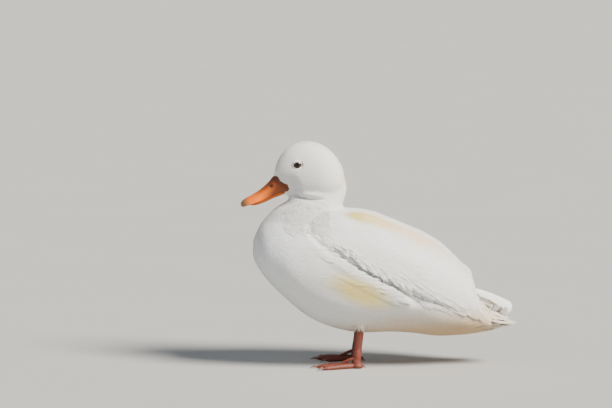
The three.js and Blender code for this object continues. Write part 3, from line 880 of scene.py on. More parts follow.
def store_guides(mesh, share, above_edge, in_groove, in_fold):
    """Stores how the feathers lie, how long and wide they are, and which coat grows at each point."""
    points, out = points_and_normals(mesh)
    x, y, z = points.T
    head, neck, thigh, mantle = (share[name] for name in ("head", "neck", "thigh", "mantle"))
    body = 1 - head - neck
    rump = smooth(-52, -82, x)
    span = head * (2.2 + 2.6 * smooth(100, 45, x)) + neck * 6.5
    span = span + body * (7.6 + 1.8 * smooth(60, -60, x) + 7.5 * mantle)
    span = span * (1 - 0.35 * thigh) * (1 - 0.5 * rump * mantle)
    girth = span * ((0.185 - 0.03 * mantle) * body + 0.2 * neck + 0.2 * head)
    tip_rise = 0.19 * head + 0.36 * neck + (0.3 + 0.5 * mantle) * (1 - 0.4 * rump) * body
    eye = np.where(np.abs(y) > EYE_SIDE, eye_shares(points), 9.0)
    ruff = smooth(48, 58, x) * smooth(96, 88, x) * smooth(133, 139, z)
    ruff = ruff * smooth(166, 160, z) * smooth(14, 20, np.abs(y))
    on_head, on_neck = (head > 0.5) & (head > neck), (neck > body) & (neck >= head)
    on_body = ~on_head & ~on_neck
    on_back = (mantle >= 0.5) & ((above_edge > 3.0) | (x > -27)) & ~in_groove
    plain = on_body & ~on_back & ~in_groove
    guides = {
        "bare": 1 - smooth(1.08, 1.15, eye),
        "out": out,
        "lie": coat_lie(points, out, share),
        "span": span * MM,
        "girth": girth * MM,
        "root_rise": (0.3 * mantle - 0.15) * MM,
        "tip_rise": tip_rise * MM,
        "cling": np.ones(len(x)),
        "ruff_coat": ruff,
        "head_coat": on_head & (eye > 1.15) & ~in_fold & (beyond_bill_edge(points) < 0.2),
        "neck_coat": on_neck & ~in_fold,
        "fore_coat": plain & (x >= 50),
        "middle_coat": plain & (x < 50) & (x >= -15),
        "hind_coat": plain & (x < -15),
        "left_mantle_coat": on_body & on_back & (y >= 0),
        "right_mantle_coat": on_body & on_back & (y < 0),
    }
    for name, values in guides.items():
        store(mesh, name, values)


def unwrap(piece):
    """Lays the surface out flat under the name that the coat's vanes share."""
    piece.data.uv_layers.new(name="OFBake")
    bpy.ops.object.select_all(action="DESELECT")
    piece.select_set(True)
    bpy.context.view_layer.objects.active = piece
    bpy.ops.object.mode_set(mode="EDIT")
    bpy.ops.mesh.select_all(action="SELECT")
    bpy.ops.uv.smart_project(angle_limit=math.radians(75), island_margin=0.004)
    bpy.ops.object.mode_set(mode="OBJECT")


# ---------------------------------------------------------------- vanes
def blade_rim(rng, lobes, narrow, widest, pointed, fray):
    """The edge of a vane as points (across, along) from the root up the left, round the tip and down.

    The sides swell to their full width at the share widest. Round the tip the edge goes in and out
    by the share fray, so that it ends in as many points as there are lobes."""
    sides = [(narrow + (1 - narrow) * math.sin(math.pi / 2 * u) ** 0.8, u * widest) for u in (0.3, 0.7)]
    rim = [(0, 0)] + [(-w, u) for w, u in sides]
    steps = 2 * lobes
    for k in range(steps + 1):
        turn = math.radians(-88 + 176 * k / steps)
        reach = 1 - (fray * rng.uniform(0.6, 1.4) if k % 2 and lobes > 1 else 0.08 * rng.random())
        point = abs(math.cos(turn)) ** pointed
        rim.append((math.sin(turn) * reach, widest + (1 - widest) * point * reach))
    return rim + [(w, u) for w, u in reversed(sides)]


def quill_rim(point, nick, stations=13):
    """The edge of a long vane with a rounded point, a narrower leading side and one small parting."""
    left, right = [], []
    for share in np.linspace(0, 1, stations + 1)[1:-1]:
        u = 1 - (1 - share) ** 1.5
        half = (0.35 + 0.65 * min(1.0, u / 0.3) ** 0.8) * (1 - u**point) ** 0.6
        parted = 0.14 * math.exp(-(((u - nick) / 0.04) ** 2))
        left.append((-half * (1 - parted), u))
        right.append((half * 0.82, u))
    return [(0, 0), *left, (0.0, 1.0), *reversed(right)]


def vane_pattern(name, rim, spine):
    """A closed thin blade between its rim and a spine of shares along its middle.

    Its stored vane is how far across, along and up each point lies: 0 below, 0.5 at the rim, 1 on top."""
    count = len(rim)
    points = [(across, along, 0.5) for across, along in rim]
    points += [(0, along, 1.0) for along in spine] + [(0, along, 0.0) for along in spine]
    faces = []
    nearest = [min(range(len(spine)), key=lambda k: abs(spine[k] - along)) for _, along in rim]
    for base, turn in ((count, 1), (count + len(spine), -1)):
        for i in range(count):
            j = (i + 1) % count
            faces.append((i, base + nearest[i], j)[::turn])
            low, high = sorted((nearest[i], nearest[j]))
            for k in range(low, high):
                edge = (base + k, base + k + 1) if nearest[i] < nearest[j] else (base + k + 1, base + k)
                faces.append((j, *edge)[::turn])
    pattern = mesh_object(name, points, faces)
    mesh = pattern.data
    store(mesh, "vane", np.array(points, float))
    work = bmesh.new()
    work.from_mesh(mesh)
    bmesh.ops.recalc_face_normals(work, faces=work.faces)
    for edge in work.edges:
        edge.smooth = any(v.index >= count for v in edge.verts)
    work.to_mesh(mesh)
    work.free()
    return pattern


# Kinds of small vane: how many patterns; then the points round the tip, the share of the width near the root,
# the share of the length where it is widest, how pointed and how frayed the tip is; then the spine's points.
PATTERNS = {
    "contour": (5, (3, 0.35, 0.58, 0.9, 0.26), (0.25, 0.6)),
    "plume": (4, (4, 0.4, 0.5, 1.0, 0.2), (0.2, 0.5, 0.8)),
    "downy": (3, (2, 0.4, 0.6, 0.9, 0.25), (0.5,)),
    "strand": (2, (1, 0.6, 0.5, 1.4, 0.0), (0.5,)),
}
QUILL_NICKS = (0.7, 0.85, 2)  # where each long vane is parted, as a share of its length; 2 is nowhere


def patterns_of(kind):
    """A few vanes of one kind that differ only in their ragged tips."""
    rng = np.random.default_rng(11)
    count, shape, spine = PATTERNS[kind]
    return [vane_pattern(f"{kind}_{k}", blade_rim(rng, *shape), spine) for k in range(count)]


VANE_INPUTS = {
    "Skin": ("Object", None),
    "Seed": ("Int", 1),
    "Wander": ("Float", 0.16),  # how far a vane turns from the lie, in radians
    "Vary": ("Float", 0.15),  # share by which lengths differ
    "Length": ("Float", 1.0),  # these two multiply what the skin or the points ask for
    "Width": ("Float", 1.0),
    "Lift": ("Float", 0.0),  # stands the tips off further
    "Camber": ("Float", 0.1),  # how far the edges bend down, as a share of the half width
    "Thickness": ("Float", 0.00014),
    "Reach": ("Float", 0.006),  # further off the skin than this, a vane begins to lie free of it
    "Patch": ("Float", PATCH),
    "Finish": ("Material", None),
}
SCATTER_INPUTS = {"Spacing": ("Float", 0.002), "Where": ("String", "")}


def plumage_tree(name, patterns, scattered):
    """Lays vanes on a skin, on points scattered over it or on the points given. Sizes are in metres."""
    tree = Tree(name, **VANE_INPUTS, **(SCATTER_INPUTS if scattered else {}))
    skin = tree.out(tree.add("GeometryNodeObjectInfo", {"Object": tree.input("Skin")}), "Geometry")
    points = scattered_points(tree, skin) if scattered else tree.input("Geometry")
    vanes = vanes_on(tree, guided(tree, skin, points), patterns)
    tree.end(laid(tree, skin, vanes), tree.input("Finish"))
    return tree.tree


def scattered_points(tree, skin):
    """Roots spread evenly where the coat grows."""
    thick = tree.add("GeometryNodeInputNamedAttribute", {"Name": tree.input("Where")}, data_type="FLOAT")
    sockets = {
        "Mesh": skin,
        "Distance Min": tree.input("Spacing"),
        "Density Max": 4e6,
        "Density Factor": tree.out(thick),
        "Seed": tree.input("Seed"),
    }
    spread = tree.add("GeometryNodeDistributePointsOnFaces", sockets, distribute_method="POISSON")
    return tree.out(spread, "Points")


def guided(tree, skin, points):
    """The points with what each vane is to follow: its root, its lie and its size."""
    seed, wander = tree.input("Seed"), tree.input("Wander")
    turn = tree.random(tree.number("MULTIPLY", wander, -1.0), wander, seed)
    sockets = {"Vector": tree.attribute("lie"), "Axis": tree.attribute("out"), "Angle": turn}
    turned = tree.add("ShaderNodeVectorRotate", sockets, rotation_type="AXIS_ANGLE")
    chance = tree.random(-1.0, 1.0, tree.number("ADD", seed, 1.0))
    gain = tree.number("MULTIPLY_ADD", chance, tree.input("Vary"), 1.0)
    span = tree.number("MULTIPLY", tree.attribute("span", "FLOAT"), gain)
    span = tree.number("MULTIPLY", span, tree.input("Length"))
    girth = tree.number("MULTIPLY", tree.attribute("girth", "FLOAT"), tree.input("Width"))
    tip_rise = tree.number("ADD", tree.attribute("tip_rise", "FLOAT"), tree.input("Lift"))
    place = tree.position()
    points = tree.kept(points, "root", place)
    points = tree.kept(points, "root_uv", tree.beneath(skin, "OFBake", place))
    points = tree.kept(points, "tint", tree.random(0.955, 1.0, tree.number("ADD", seed, 2.0)), "FLOAT")
    for label, value in (("span", span), ("girth", girth), ("tip_rise", tip_rise)):
        points = tree.kept(points, label, value, "FLOAT")
    return tree.kept(points, "lie", tree.out(turned))


def vanes_on(tree, points, patterns):
    """One of the patterns on each point, picked by chance."""
    shapes = tree.add("GeometryNodeJoinGeometry")
    for pattern in patterns:
        shape = tree.add("GeometryNodeObjectInfo", {"As Instance": True})
        shape.inputs["Object"].default_value = pattern
        tree.tree.links.new(tree.out(shape, "Geometry"), shapes.inputs[0])
    sockets = {"Min": 0, "Max": len(patterns) - 1, "Seed": tree.number("ADD", tree.input("Seed"), 3.0)}
    pick = tree.add("FunctionNodeRandomValue", sockets, data_type="INT")
    sockets = {
        "Points": points,
        "Instance": tree.out(shapes),
        "Pick Instance": True,
        "Instance Index": tree.out(pick),
    }
    vanes = tree.out(tree.add("GeometryNodeInstanceOnPoints", sockets))
    return tree.out(tree.add("GeometryNodeRealizeInstances", {"Geometry": vanes}))


def laid(tree, skin, vanes):
    """The vanes bent over the skin from their roots, each with its patch of the unwrap."""
    vane = tree.add("ShaderNodeSeparateXYZ", {"Vector": tree.attribute("vane")})
    across, along, up = vane.outputs
    lie, out, root = tree.attribute("lie"), tree.attribute("out"), tree.attribute("root")
    span, girth = tree.attribute("span", "FLOAT"), tree.attribute("girth", "FLOAT")
    aside = tree.vector("CROSS_PRODUCT", lie, out)
    wide = tree.number("MULTIPLY", across, girth)
    flat = tree.vector("ADD", root, tree.vector("SCALE", lie, tree.number("MULTIPLY", along, span)))
    flat = tree.vector("ADD", flat, tree.vector("SCALE", aside, wide))
    under = tree.beneath(skin, "position", flat)
    gap, reach = tree.vector("DISTANCE", flat, under), tree.input("Reach")
    far = tree.step(gap, reach, tree.number("MULTIPLY", reach, 3.0))
    cling = tree.number("MULTIPLY", tree.attribute("cling", "FLOAT"), tree.number("SUBTRACT", 1.0, far))
    base = tree.mixed(cling, flat, under)
    normal = tree.vector("NORMALIZE", tree.mixed(cling, out, tree.beneath(skin, "out", flat)))
    rise = tree.mixed(along, tree.attribute("root_rise", "FLOAT"), tree.attribute("tip_rise", "FLOAT"))
    crown = tree.number("SUBTRACT", 1.0, tree.number("POWER", across, 2.0))
    rise = tree.number("MULTIPLY_ADD", tree.number("MULTIPLY", crown, tree.input("Camber")), girth, rise)
    rise = tree.number("MULTIPLY_ADD", tree.number("SUBTRACT", up, 0.5), tree.input("Thickness"), rise)
    place = tree.vector("ADD", base, tree.vector("SCALE", normal, rise))
    vanes = tree.out(tree.add("GeometryNodeSetPosition", {"Geometry": vanes, "Position": place}))
    half, centred = tree.number("MULTIPLY", across, 0.5), tree.number("SUBTRACT", along, 0.5)
    within = tree.add("ShaderNodeCombineXYZ", {"X": half, "Y": centred})
    patch = tree.vector("SCALE", within.outputs[0], tree.input("Patch"))
    patch = tree.vector("ADD", tree.attribute("root_uv"), patch)
    return tree.kept(vanes, "OFBake", patch, "FLOAT2", "CORNER")


FOLLOWED = ("root", "root_uv", "lie", "out", "root_rise", "tip_rise", "cling", "bare")


def cleared(piece):
    """Drops what only the tree needed from a finished coat piece."""
    layers = piece.data.attributes
    for layer in [a.name for a in layers if a.name in FOLLOWED or a.name.endswith("_coat")]:
        layers.remove(layers[layer])
    return piece


def coat_piece(name, tree, slot="plumage", points=None, **values):
    """One piece of plumage: scattered over the skin, or on given points with what each is to follow."""
    piece = mesh_object(name, [] if points is None else points.pop("place"), [])
    for label, numbers in (points or {}).items():
        store(piece.data, label, np.asarray(numbers, float))
    grow(piece, tree, **values)
    cleared(piece)
    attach(piece, "root")
    print(name, sum(len(p.vertices) - 2 for p in piece.data.polygons), "triangles")
    return piece


# ---------------------------------------------------------------- the coat
# Rows of long feathers on the folded wing. Roots and tips run between two places on the trunk, each a
# station along it and an angle in degrees above its widest line, from the front of the row to its rear.
# Then come half width, rise of the root and of the tip in millimetres, and how far the feathers cling to
# the skin.
WING_FEATHERS = [
    ("primaries", 7, ((0.60, -2), (0.65, 6)), ((0.735, -24), (0.835, -24)), 4.2, 0.1, 0.5, 0.6),
    ("secondaries", 13, ((0.46, 28), (0.62, 10)), ((0.545, 5), (0.745, -21)), 4.3, 0.1, 0.5, 0.6),
    ("wing_coverts", 17, ((0.47, 32), (0.66, 14)), ((0.54, 9), (0.735, -12)), 3.4, 0.3, 0.8, 0.8),
]
WING_PROUD = 2.4  # how far the rows start off the trunk
# Soft rows beside the fold: count, x and z of the roots and of the tips from the front of the row to its
# rear, half width, rise of the root and of the tip.
FOLD_ROWS = [
    (
        18,
        [(56, 99), (38, 91), (18, 79), (0, 71)],
        [(38, 96), (16, 85), (-6, 75), (-26, 66)],
        *(2.6, 0.1, 0.4),
    ),
    (
        36,
        [(70, 122), (56, 115), (38, 103), (18, 91), (-4, 80)],
        [(52, 120), (31, 106), (9, 92), (-13, 80), (-34, 68)],
        *(1.9, 0.2, 1.1),
    ),
    (
        36,
        [(66, 117), (54, 110), (36, 98), (16, 86), (-4, 76)],
        [(50, 114), (31, 102), (9, 88.5), (-13, 77), (-32, 67)],
        *(2.1, 0.1, 0.8),
    ),
    (
        54,
        [(60, 130), (46, 126), (26, 113.5), (4, 100.5), (-17, 89.5)],
        [(41, 118), (25, 106.5), (4, 93), (-18, 80), (-39, 67.5)],
        *(2.6, 0.2, 0.4),
    ),
    (
        54,
        [(60, 134), (46, 130), (26, 117.5), (4, 104.5), (-17, 93.5)],
        [(42, 122), (26, 110.5), (5, 97), (-17, 84), (-38, 71.5)],
        *(2.6, 0.3, 0.6),
    ),
    (
        46,
        [(60, 139), (46, 135), (27, 122.5), (5, 109.5), (-16, 98.5)],
        [(43, 127), (27, 115.5), (6, 102), (-16, 89), (-37, 76.5)],
        *(2.6, 0.3, 0.6),
    ),
]


LAID = ("place", "lie", "out", "span", "girth", "root_rise", "tip_rise", "cling")


def row_points(side, rows, rng):
    """Roots of laid feathers with what each follows, in metres."""
    found = {label: [] for label in LAID}
    for _, count, roots, tips, girth, root_rise, tip_rise, cling in rows:
        share = (np.arange(count) + rng.uniform(-0.15, 0.15, count)) / (count - 1)
        lines = [np.outer(front, 1 - share) + np.outer(rear, share) for front, rear in (roots, tips)]
        (root, root_out), (tip, tip_out) = (
            (trunk_points(t, np.radians(a)), trunk_normals(t, np.radians(a))) for t, a in lines
        )
        out = unit(root_out + tip_out)
        root, tip = root + out * WING_PROUD, tip + out * WING_PROUD
        mirror = (1, side, 1)
        root, tip, out = root * mirror, tip * mirror, out * mirror
        found["place"].append(root * MM + SHIFT)
        found["lie"].append(unit(tip - root))
        found["out"].append(out)
        found["span"].append(np.linalg.norm(tip - root, axis=1) * rng.uniform(0.95, 1.05, count) * MM)
        found["girth"].append(np.full(count, girth * MM))
        found["root_rise"].append(np.full(count, root_rise * MM))
        found["tip_rise"].append((tip_rise + rng.uniform(-0.12, 0.12, count)) * MM)
        found["cling"].append(np.full(count, cling))
    return {label: np.concatenate(values) for label, values in found.items()}


def free_points(places, lies, outs, span, girth, tip_rise=0.0, root_rise=0.0, cling=0.0):
    """Roots of feathers that stand free of the skin or leave it part way, sizes in millimetres."""
    count = len(places)
    whole = np.ones(count)
    return {
        "place": np.array(places) * MM + SHIFT,
        "lie": unit(np.array(lies, float)),
        "out": unit(np.array(outs, float)),
        "span": whole * span * MM,
        "girth": whole * girth * MM,
        "root_rise": whole * root_rise * MM,
        "tip_rise": whole * tip_rise * MM,
        "cling": whole * cling,
    }


def along_line(line, share):
    """Points at equal steps of a line of x and z."""
    line = np.array(line, float)
    run = np.concatenate([[0], np.cumsum(np.hypot(*np.diff(line, axis=0).T))])
    return np.stack([np.interp(share * run[-1], run, line[:, k]) for k in (0, 1)], -1)


ON_SKIN = 0.65  # share of its way that a feather follows the skin; from there it goes on straight


def fold_points(skin, side, rng):
    """Roots of the soft rows beside the fold, found on the skin of one flank."""
    mesh = skin.data
    faces = [tuple(face.vertices) for face in mesh.polygons]
    tree = BVHTree.FromPolygons([tuple(p) for p in positions(mesh)], faces)

    def on_flank(x, z):
        start = Vector((x * MM + SHIFT[0], side * 0.1, z * MM + SHIFT[2]))
        hit, normal, _, _ = tree.ray_cast(start, Vector((0, -side, 0)))
        return np.array(hit), np.array(normal)

    found = {label: [] for label in LAID}
    for count, roots, tips, girth, root_rise, tip_rise in FOLD_ROWS:
        share = (np.arange(count) + rng.uniform(-0.3, 0.3, count)).clip(0, count - 1) / (count - 1)
        for (root_x, root_z), (tip_x, tip_z) in zip(along_line(roots, share), along_line(tips, share)):
            root, root_out = on_flank(root_x, root_z)
            part = ON_SKIN
            tip, tip_out = on_flank(root_x + part * (tip_x - root_x), root_z + part * (tip_z - root_z))
            tip = root + (tip - root) / part
            found["place"].append(root)
            found["lie"].append(unit(tip - root))
            found["out"].append(unit(root_out + tip_out))
            found["span"].append(np.linalg.norm(tip - root) * rng.uniform(0.78, 1.08))
            found["girth"].append(girth * rng.uniform(0.85, 1.15) * MM)
            found["root_rise"].append(root_rise * MM)
            found["tip_rise"].append((tip_rise + rng.uniform(-0.3, 0.3)) * MM)
            found["cling"].append(0.0)
    return {label: np.array(values) for label, values in found.items()}


TAIL_FEATHERS, TAIL_FAN, TAIL_DIP = 14, 25, 15.8  # how many, and degrees to each side and downwards
TAIL_LENGTH, TAIL_SHORTER, TAIL_HALF_WIDTH = 53.2, 10, 4.7  # the outer feathers are that much shorter


def tail_points():
    """Root, lie and size of each tail feather, with the middle pair on top."""
    places, lies, outs, spans = [], [], [], []
    for k, rank in enumerate(np.linspace(-1, 1, TAIL_FEATHERS)):
        yaw, dip = math.radians(TAIL_FAN * rank), math.radians(TAIL_DIP)
        lie = np.array([-math.cos(yaw) * math.cos(dip), math.sin(yaw) * math.cos(dip), -math.sin(dip)])
        up = np.array([-math.sin(dip), 0.3 * rank, math.cos(dip)])
        places.append(np.array(TAIL_ROOT) + (0, 3 * rank, 0.9 - 2.2 * abs(rank)))
        lies.append(lie)
        outs.append(unit(up - lie * np.dot(up, lie)))
        spans.append(TAIL_LENGTH - TAIL_SHORTER * rank * rank - 1.8 * (k % 3 == 1))
    return free_points(places, lies, outs, np.array(spans), TAIL_HALF_WIDTH)


# Coverts above and below the tail: count, root x, height and half spread, change of the height towards
# the sides, fall of the lie, its spread, length, half width, whether they face up or down, and how far
# they cling to the skin.
COVERTS = [
    (15, -95, 60.0, 9, -4.0, -0.43, 0.26, 31, 3.6, 1, 0.0),
    (15, -96, 57.0, 9, -4.0, -0.37, 0.30, 33, 3.6, 1, 0.0),
    (17, -94, 65.5, 9, -5.0, -0.75, 0.30, 20, 3.6, 1, 0.0),
    (17, -92, 71.5, 10, -7.0, -1.10, 0.34, 18, 3.6, 1, 0.0),
    (15, -90, 78.0, 10, -8.0, -1.45, 0.38, 15, 3.4, 1, 0.3),
    (15, -93, 34.4, 12, 5.0, 0.09, 0.1, 41, 3.6, -1, 0.6),
    (17, -76, 33.2, 18, 6.0, 0.04, 0.12, 36, 3.6, -1, 1.0),
]


def covert_points(rng):
    """Roots of the feathers that cover those of the tail, from above and below."""
    places, lies, outs, spans, girths, clings = [], [], [], [], [], []
    for count, x, z, half, fall_aside, fall, spread, length, girth, facing, cling in COVERTS:
        for rank in np.linspace(-1, 1, count) + rng.uniform(-0.06, 0.06, count):
            lie = unit(np.array([-1, spread * rank, fall]))
            up = np.array([0, 0.5 * rank, facing])
            places.append((x + 4 * rank * rank, half * rank, z + fall_aside * rank * rank))
            lies.append(lie)
            outs.append(unit(up - lie * np.dot(up, lie)))
            spans.append(length * rng.uniform(0.88, 1.08))
            girths.append(girth * rng.uniform(0.9, 1.1))
            clings.append(cling)
    spans, girths, clings = (np.array(values) for values in (spans, girths, clings))
    return free_points(places, lies, outs, spans, girths, tip_rise=0.5, cling=clings)


# Rings of short feathers round the top of each shank: count, radius, height, outward flare and length.
TUFTS = [
    (80, 8.2, 47.5, -0.1, 9),
    (80, 7.0, 47, -0.12, 10),
    (60, 5.6, 46.5, -0.14, 10),
    (40, 4.6, 44.5, -0.15, 8),
]


def tuft_points(side, rng):
    """Roots of the short feathers round the top of one shank."""
    places, lies, outs, spans = [], [], [], []
    for count, radius, height, flare, length in TUFTS:
        for turn in 2 * math.pi * (np.arange(count) + rng.uniform(-0.4, 0.4, count)) / count:
            ring = np.array([math.cos(turn), math.sin(turn), 0.0])
            places.append(np.array([19.5, side * LEG_Y, height]) + ring * radius)
            lies.append(unit(np.array([0.06, 0, -1]) + ring * flare + rng.uniform(-0.18, 0.18, 3)))
            outs.append(ring)
            spans.append(length * rng.uniform(0.6, 1.15))
    return free_points(places, lies, outs, np.array(spans), 0.5)


def build_coat(skin):
    contour, plume, downy, strand = (patterns_of(kind) for kind in PATTERNS)
    quill = [
        vane_pattern(f"quill_{k}", quill_rim(3.0, nick), (0.12, 0.35, 0.6, 0.85))
        for k, nick in enumerate(QUILL_NICKS)
    ]
    finish = feather_finish("contour feathers")
    flight = feather_finish("flight feathers", barbs=1.5)
    scatter = plumage_tree("contour feathers", contour, scattered=True)
    scatter_plumes = plumage_tree("mantle feathers", plume, scattered=True)
    scatter_downy = plumage_tree("face feathers", downy, scattered=True)
    scatter_strands = plumage_tree("ruff strands", strand, scattered=True)
    lay = plumage_tree("laid feathers", quill, scattered=False)
    lay_plumes = plumage_tree("laid soft feathers", plume, scattered=False)
    lay_strands = plumage_tree("laid strands", strand, scattered=False)
    common = {"Skin": skin, "Finish": finish}
    for name, tree, spacing, seed in (
        ("fore_coat", scatter, 0.0015, 3),
        ("middle_coat", scatter, 0.0015, 4),
        ("hind_coat", scatter, 0.0015, 5),
        ("neck_coat", scatter, 0.0013, 7),
        ("head_coat", scatter_downy, 0.00095, 9),
    ):
        coat_piece(name, tree, Where=name, Spacing=spacing, Seed=seed, **common)
    ruff = {"Length": 1.3, "Width": 0.34, "Lift": 0.0011, "Wander": 0.3, "Vary": 0.35}
    coat_piece("ruff", scatter_strands, Where="ruff_coat", Spacing=0.0008, Seed=13, **ruff, **common)
    free = {"Skin": skin, "Wander": 0.03, "Vary": 0.04, "Reach": 0.008, "Thickness": 0.00025}
    soft = {**free, "Finish": finish, "Wander": 0.12}
    stiff = {**free, "Finish": flight, "Camber": 0.06}
    rng = np.random.default_rng(5)
    for tag, side in SIDES.items():
        mantle = {"Where": f"{tag}_mantle_coat", "Spacing": 0.0021, "Wander": 0.14}
        coat_piece(f"mantle_{tag}", scatter_plumes, Seed=11 + side, **mantle, **common)
        rows = row_points(side, WING_FEATHERS, rng)
        wing = coat_piece(f"wing_feathers_{tag}", lay, "flight_feathers", rows, Seed=17, **stiff)
        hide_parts(f"primaries_{tag}")
        rows = fold_points(skin, side, rng)
        coat_piece(f"flank_feathers_{tag}", lay_plumes, "plumage", rows, Seed=19, **soft)
        coat_piece(f"leg_tufts_{tag}", lay_strands, "plumage", tuft_points(side, rng), Seed=29, **soft)
    tail = coat_piece("tail_feathers", lay, "flight_feathers", tail_points(), Seed=23, **stiff)
    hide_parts("tail")
    coat_piece("tail_coverts", lay_plumes, "plumage", covert_points(rng), Seed=31, **soft)
    build_curls(skin, flight)
    for pattern in contour + plume + downy + strand + quill:
        discard(pattern)


# ---------------------------------------------------------------- curled tail feathers
def spline(points, samples):
    """Evenly numbered points on a Catmull-Rom curve, with its directions."""
    points = np.array(points, float)
    padded = np.vstack([2 * points[0] - points[1], points, 2 * points[-1] - points[-2]])
    t = np.linspace(0, len(points) - 1, samples)
    k = np.clip(t.astype(int), 0, len(points) - 2)
    f = (t - k)[:, None]
    a, b, c, d = (padded[k + i] for i in range(4))
    place = b + 0.5 * f * (c - a + f * (2 * a - 5 * b + 4 * c - d + f * (3 * (b - c) + d - a)))
    return place, unit(np.gradient(place, axis=0))


def curl_route(curl, rank):
    x, z, back, up, down, tip_x, tip_z, _, _ = curl
    route = [(CURL_ROOT[0], 0, CURL_ROOT[1] - CURL_ROOT[2] * rank)]
    for turn in range(270, 119, -30):
        rise = math.sin(math.radians(turn))
        route.append((x + back * math.cos(math.radians(turn)), 0, z + (down if rise < 0 else up) * rise))
    last_x, _, last_z = route[-1]
    route.append(((tip_x + last_x) / 2, 0, (tip_z + last_z) / 2 + 0.06 * back))
    return [*route, (tip_x, 0, tip_z), (tip_x + CURL_REACH, 0, tip_z + 0.35 * CURL_REACH)]


def uv_under(skin, place):
    """The place on the skin's unwrap nearest to a point in metres."""
    mesh = skin.data
    _, _, _, face = skin.closest_point_on_mesh(Vector(place))
    loops = mesh.polygons[face].loop_indices
    return np.mean([mesh.uv_layers["OFBake"].data[loop].uv for loop in loops], axis=0)


def curl_surface(curl, route, teeth):
    """The surface of one curled vane on its route, which is where it lies and where it heads at each step."""
    shift, half_width = curl[7:]
    place, ahead = route

    def surface(t, angle):
        k = np.clip(np.round(t * CURL_STEPS).astype(int), 0, CURL_STEPS)
        p, d = place[k], ahead[k]
        edge = (np.cos(angle) > 0).astype(int)
        number, part = np.divmod(t * (CURL_TEETH - 1), 1.0)
        fray = 1 - teeth[edge, number.astype(int)] * part * smooth(0.15, 0.5, t)
        half = half_width * (0.16 + 0.84 * np.sin(math.pi * t**0.8).clip(0) ** 0.85)
        half = half * smooth(1.02, 0.9, t) * fray
        thick = 0.22 * np.sin(math.pi * t).clip(0) ** 0.25 + 0.18 * np.exp(-((np.cos(angle) / 0.2) ** 2))
        across = np.cos(angle) * half
        dish = 0.1 * half_width * (1 - (across / half_width) ** 2)
        off = np.sin(angle) * thick * smooth(0, 0.02, t) * smooth(1, 0.98, t) + dish
        lean = np.radians(-CURL_TURN) * (0.42 * smooth(0.0, 0.12, t) + 0.58 * smooth(0.36, 0.68, t))
        inwards = half * (np.sin(np.radians(CURL_LEAN)) - np.sin(np.abs(lean))).clip(None, 0)
        away = off * np.cos(lean) + across * np.sin(lean) + inwards - 0.9 * smooth(0.3, 0.6, t)
        y = shift + across * np.cos(lean) - off * np.sin(lean)
        return np.stack([p[..., 0] - d[..., 2] * away, y, p[..., 2] + d[..., 0] * away], -1)

    return surface


def build_curls(skin, finish):
    t = np.repeat(np.linspace(0, 1, CURL_STEPS + 1)[1:-1], CURL_ROUND)
    angle = np.tile(np.linspace(0, 2 * math.pi, CURL_ROUND, endpoint=False), CURL_STEPS - 1)
    vane = np.vstack([np.stack([np.cos(angle), t, np.sin(angle)], -1), [(0, 0, 0), (0, 1, 0)]])
    for rank, curl in enumerate(CURLS):
        route = spline(curl_route(curl, rank), CURL_STEPS + 1)
        teeth = np.random.default_rng(rank).uniform(0.02, 0.2, (2, CURL_TEETH))
        piece = form_object(f"curl_{rank + 1}", curl_surface(curl, route, teeth), CURL_ROUND, CURL_STEPS)
        store(piece.data, "vane", vane)
        for label, value in (("tint", 1.0), ("span", 0.05), ("girth", curl[8] * MM)):
            store(piece.data, label, np.full(len(vane), value))
        root_uv = uv_under(skin, route[0][0] * MM + SHIFT)
        layer = piece.data.uv_layers.new(name="OFBake")
        corners = np.array([loop.vertex_index for loop in piece.data.loops])
        within = np.stack([vane[corners, 0] / 2, vane[corners, 1] - 0.5], -1)
        layer.data.foreach_set("uv", (root_uv + within * PATCH).astype(np.float32).ravel())
        painted(piece, finish)
        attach(piece, "root")
        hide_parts(f"tail_curl_{rank + 1}")


# ---------------------------------------------------------------- bill and eyes
def bill_finish():
    finish = Finish(
        "orange bill",
        Roughness=0.42,
        Specular_IOR_Level=0.35,
        Coat_Weight=0.06,
        Coat_Roughness=0.3,
        Subsurface_Weight=0.1,
        Subsurface_Scale=0.0015,
    )
    place = finish.place()
    shade = finish.attribute("shade")
    blotch = finish.noise(place, 180.0)
    orange = finish.tinted(blotch, (0.78, 0.115, 0.001), (0.90, 0.21, 0.003))
    shade = finish.number("MULTIPLY_ADD", blotch, 0.25, finish.number("SUBTRACT", shade, 0.12), clamp=True)
    # Where the painted shade is, the orange turns dark red-brown.
    colour = finish.tinted(shade, orange, (0.16, 0.04, 0.012))
    tip = finish.attribute("tip")
    colour = finish.tinted(tip, colour, (0.22, 0.15, 0.07))
    finish.feed("Base Color", colour)
    finish.relief(finish.noise(place, 1400.0, 4.0), 0.25, 0.0002)
    return finish.material


def plain_finish(name, dark, light, scale, grain, roughness):
    """One mottled colour with a fine grain."""
    finish = Finish(name, Roughness=roughness)
    place = finish.place()
    finish.feed("Base Color", finish.tinted(finish.noise(place, scale), dark, light))
    finish.relief(finish.noise(place, grain, 4.0), 0.3, 0.0002)
    return finish.material


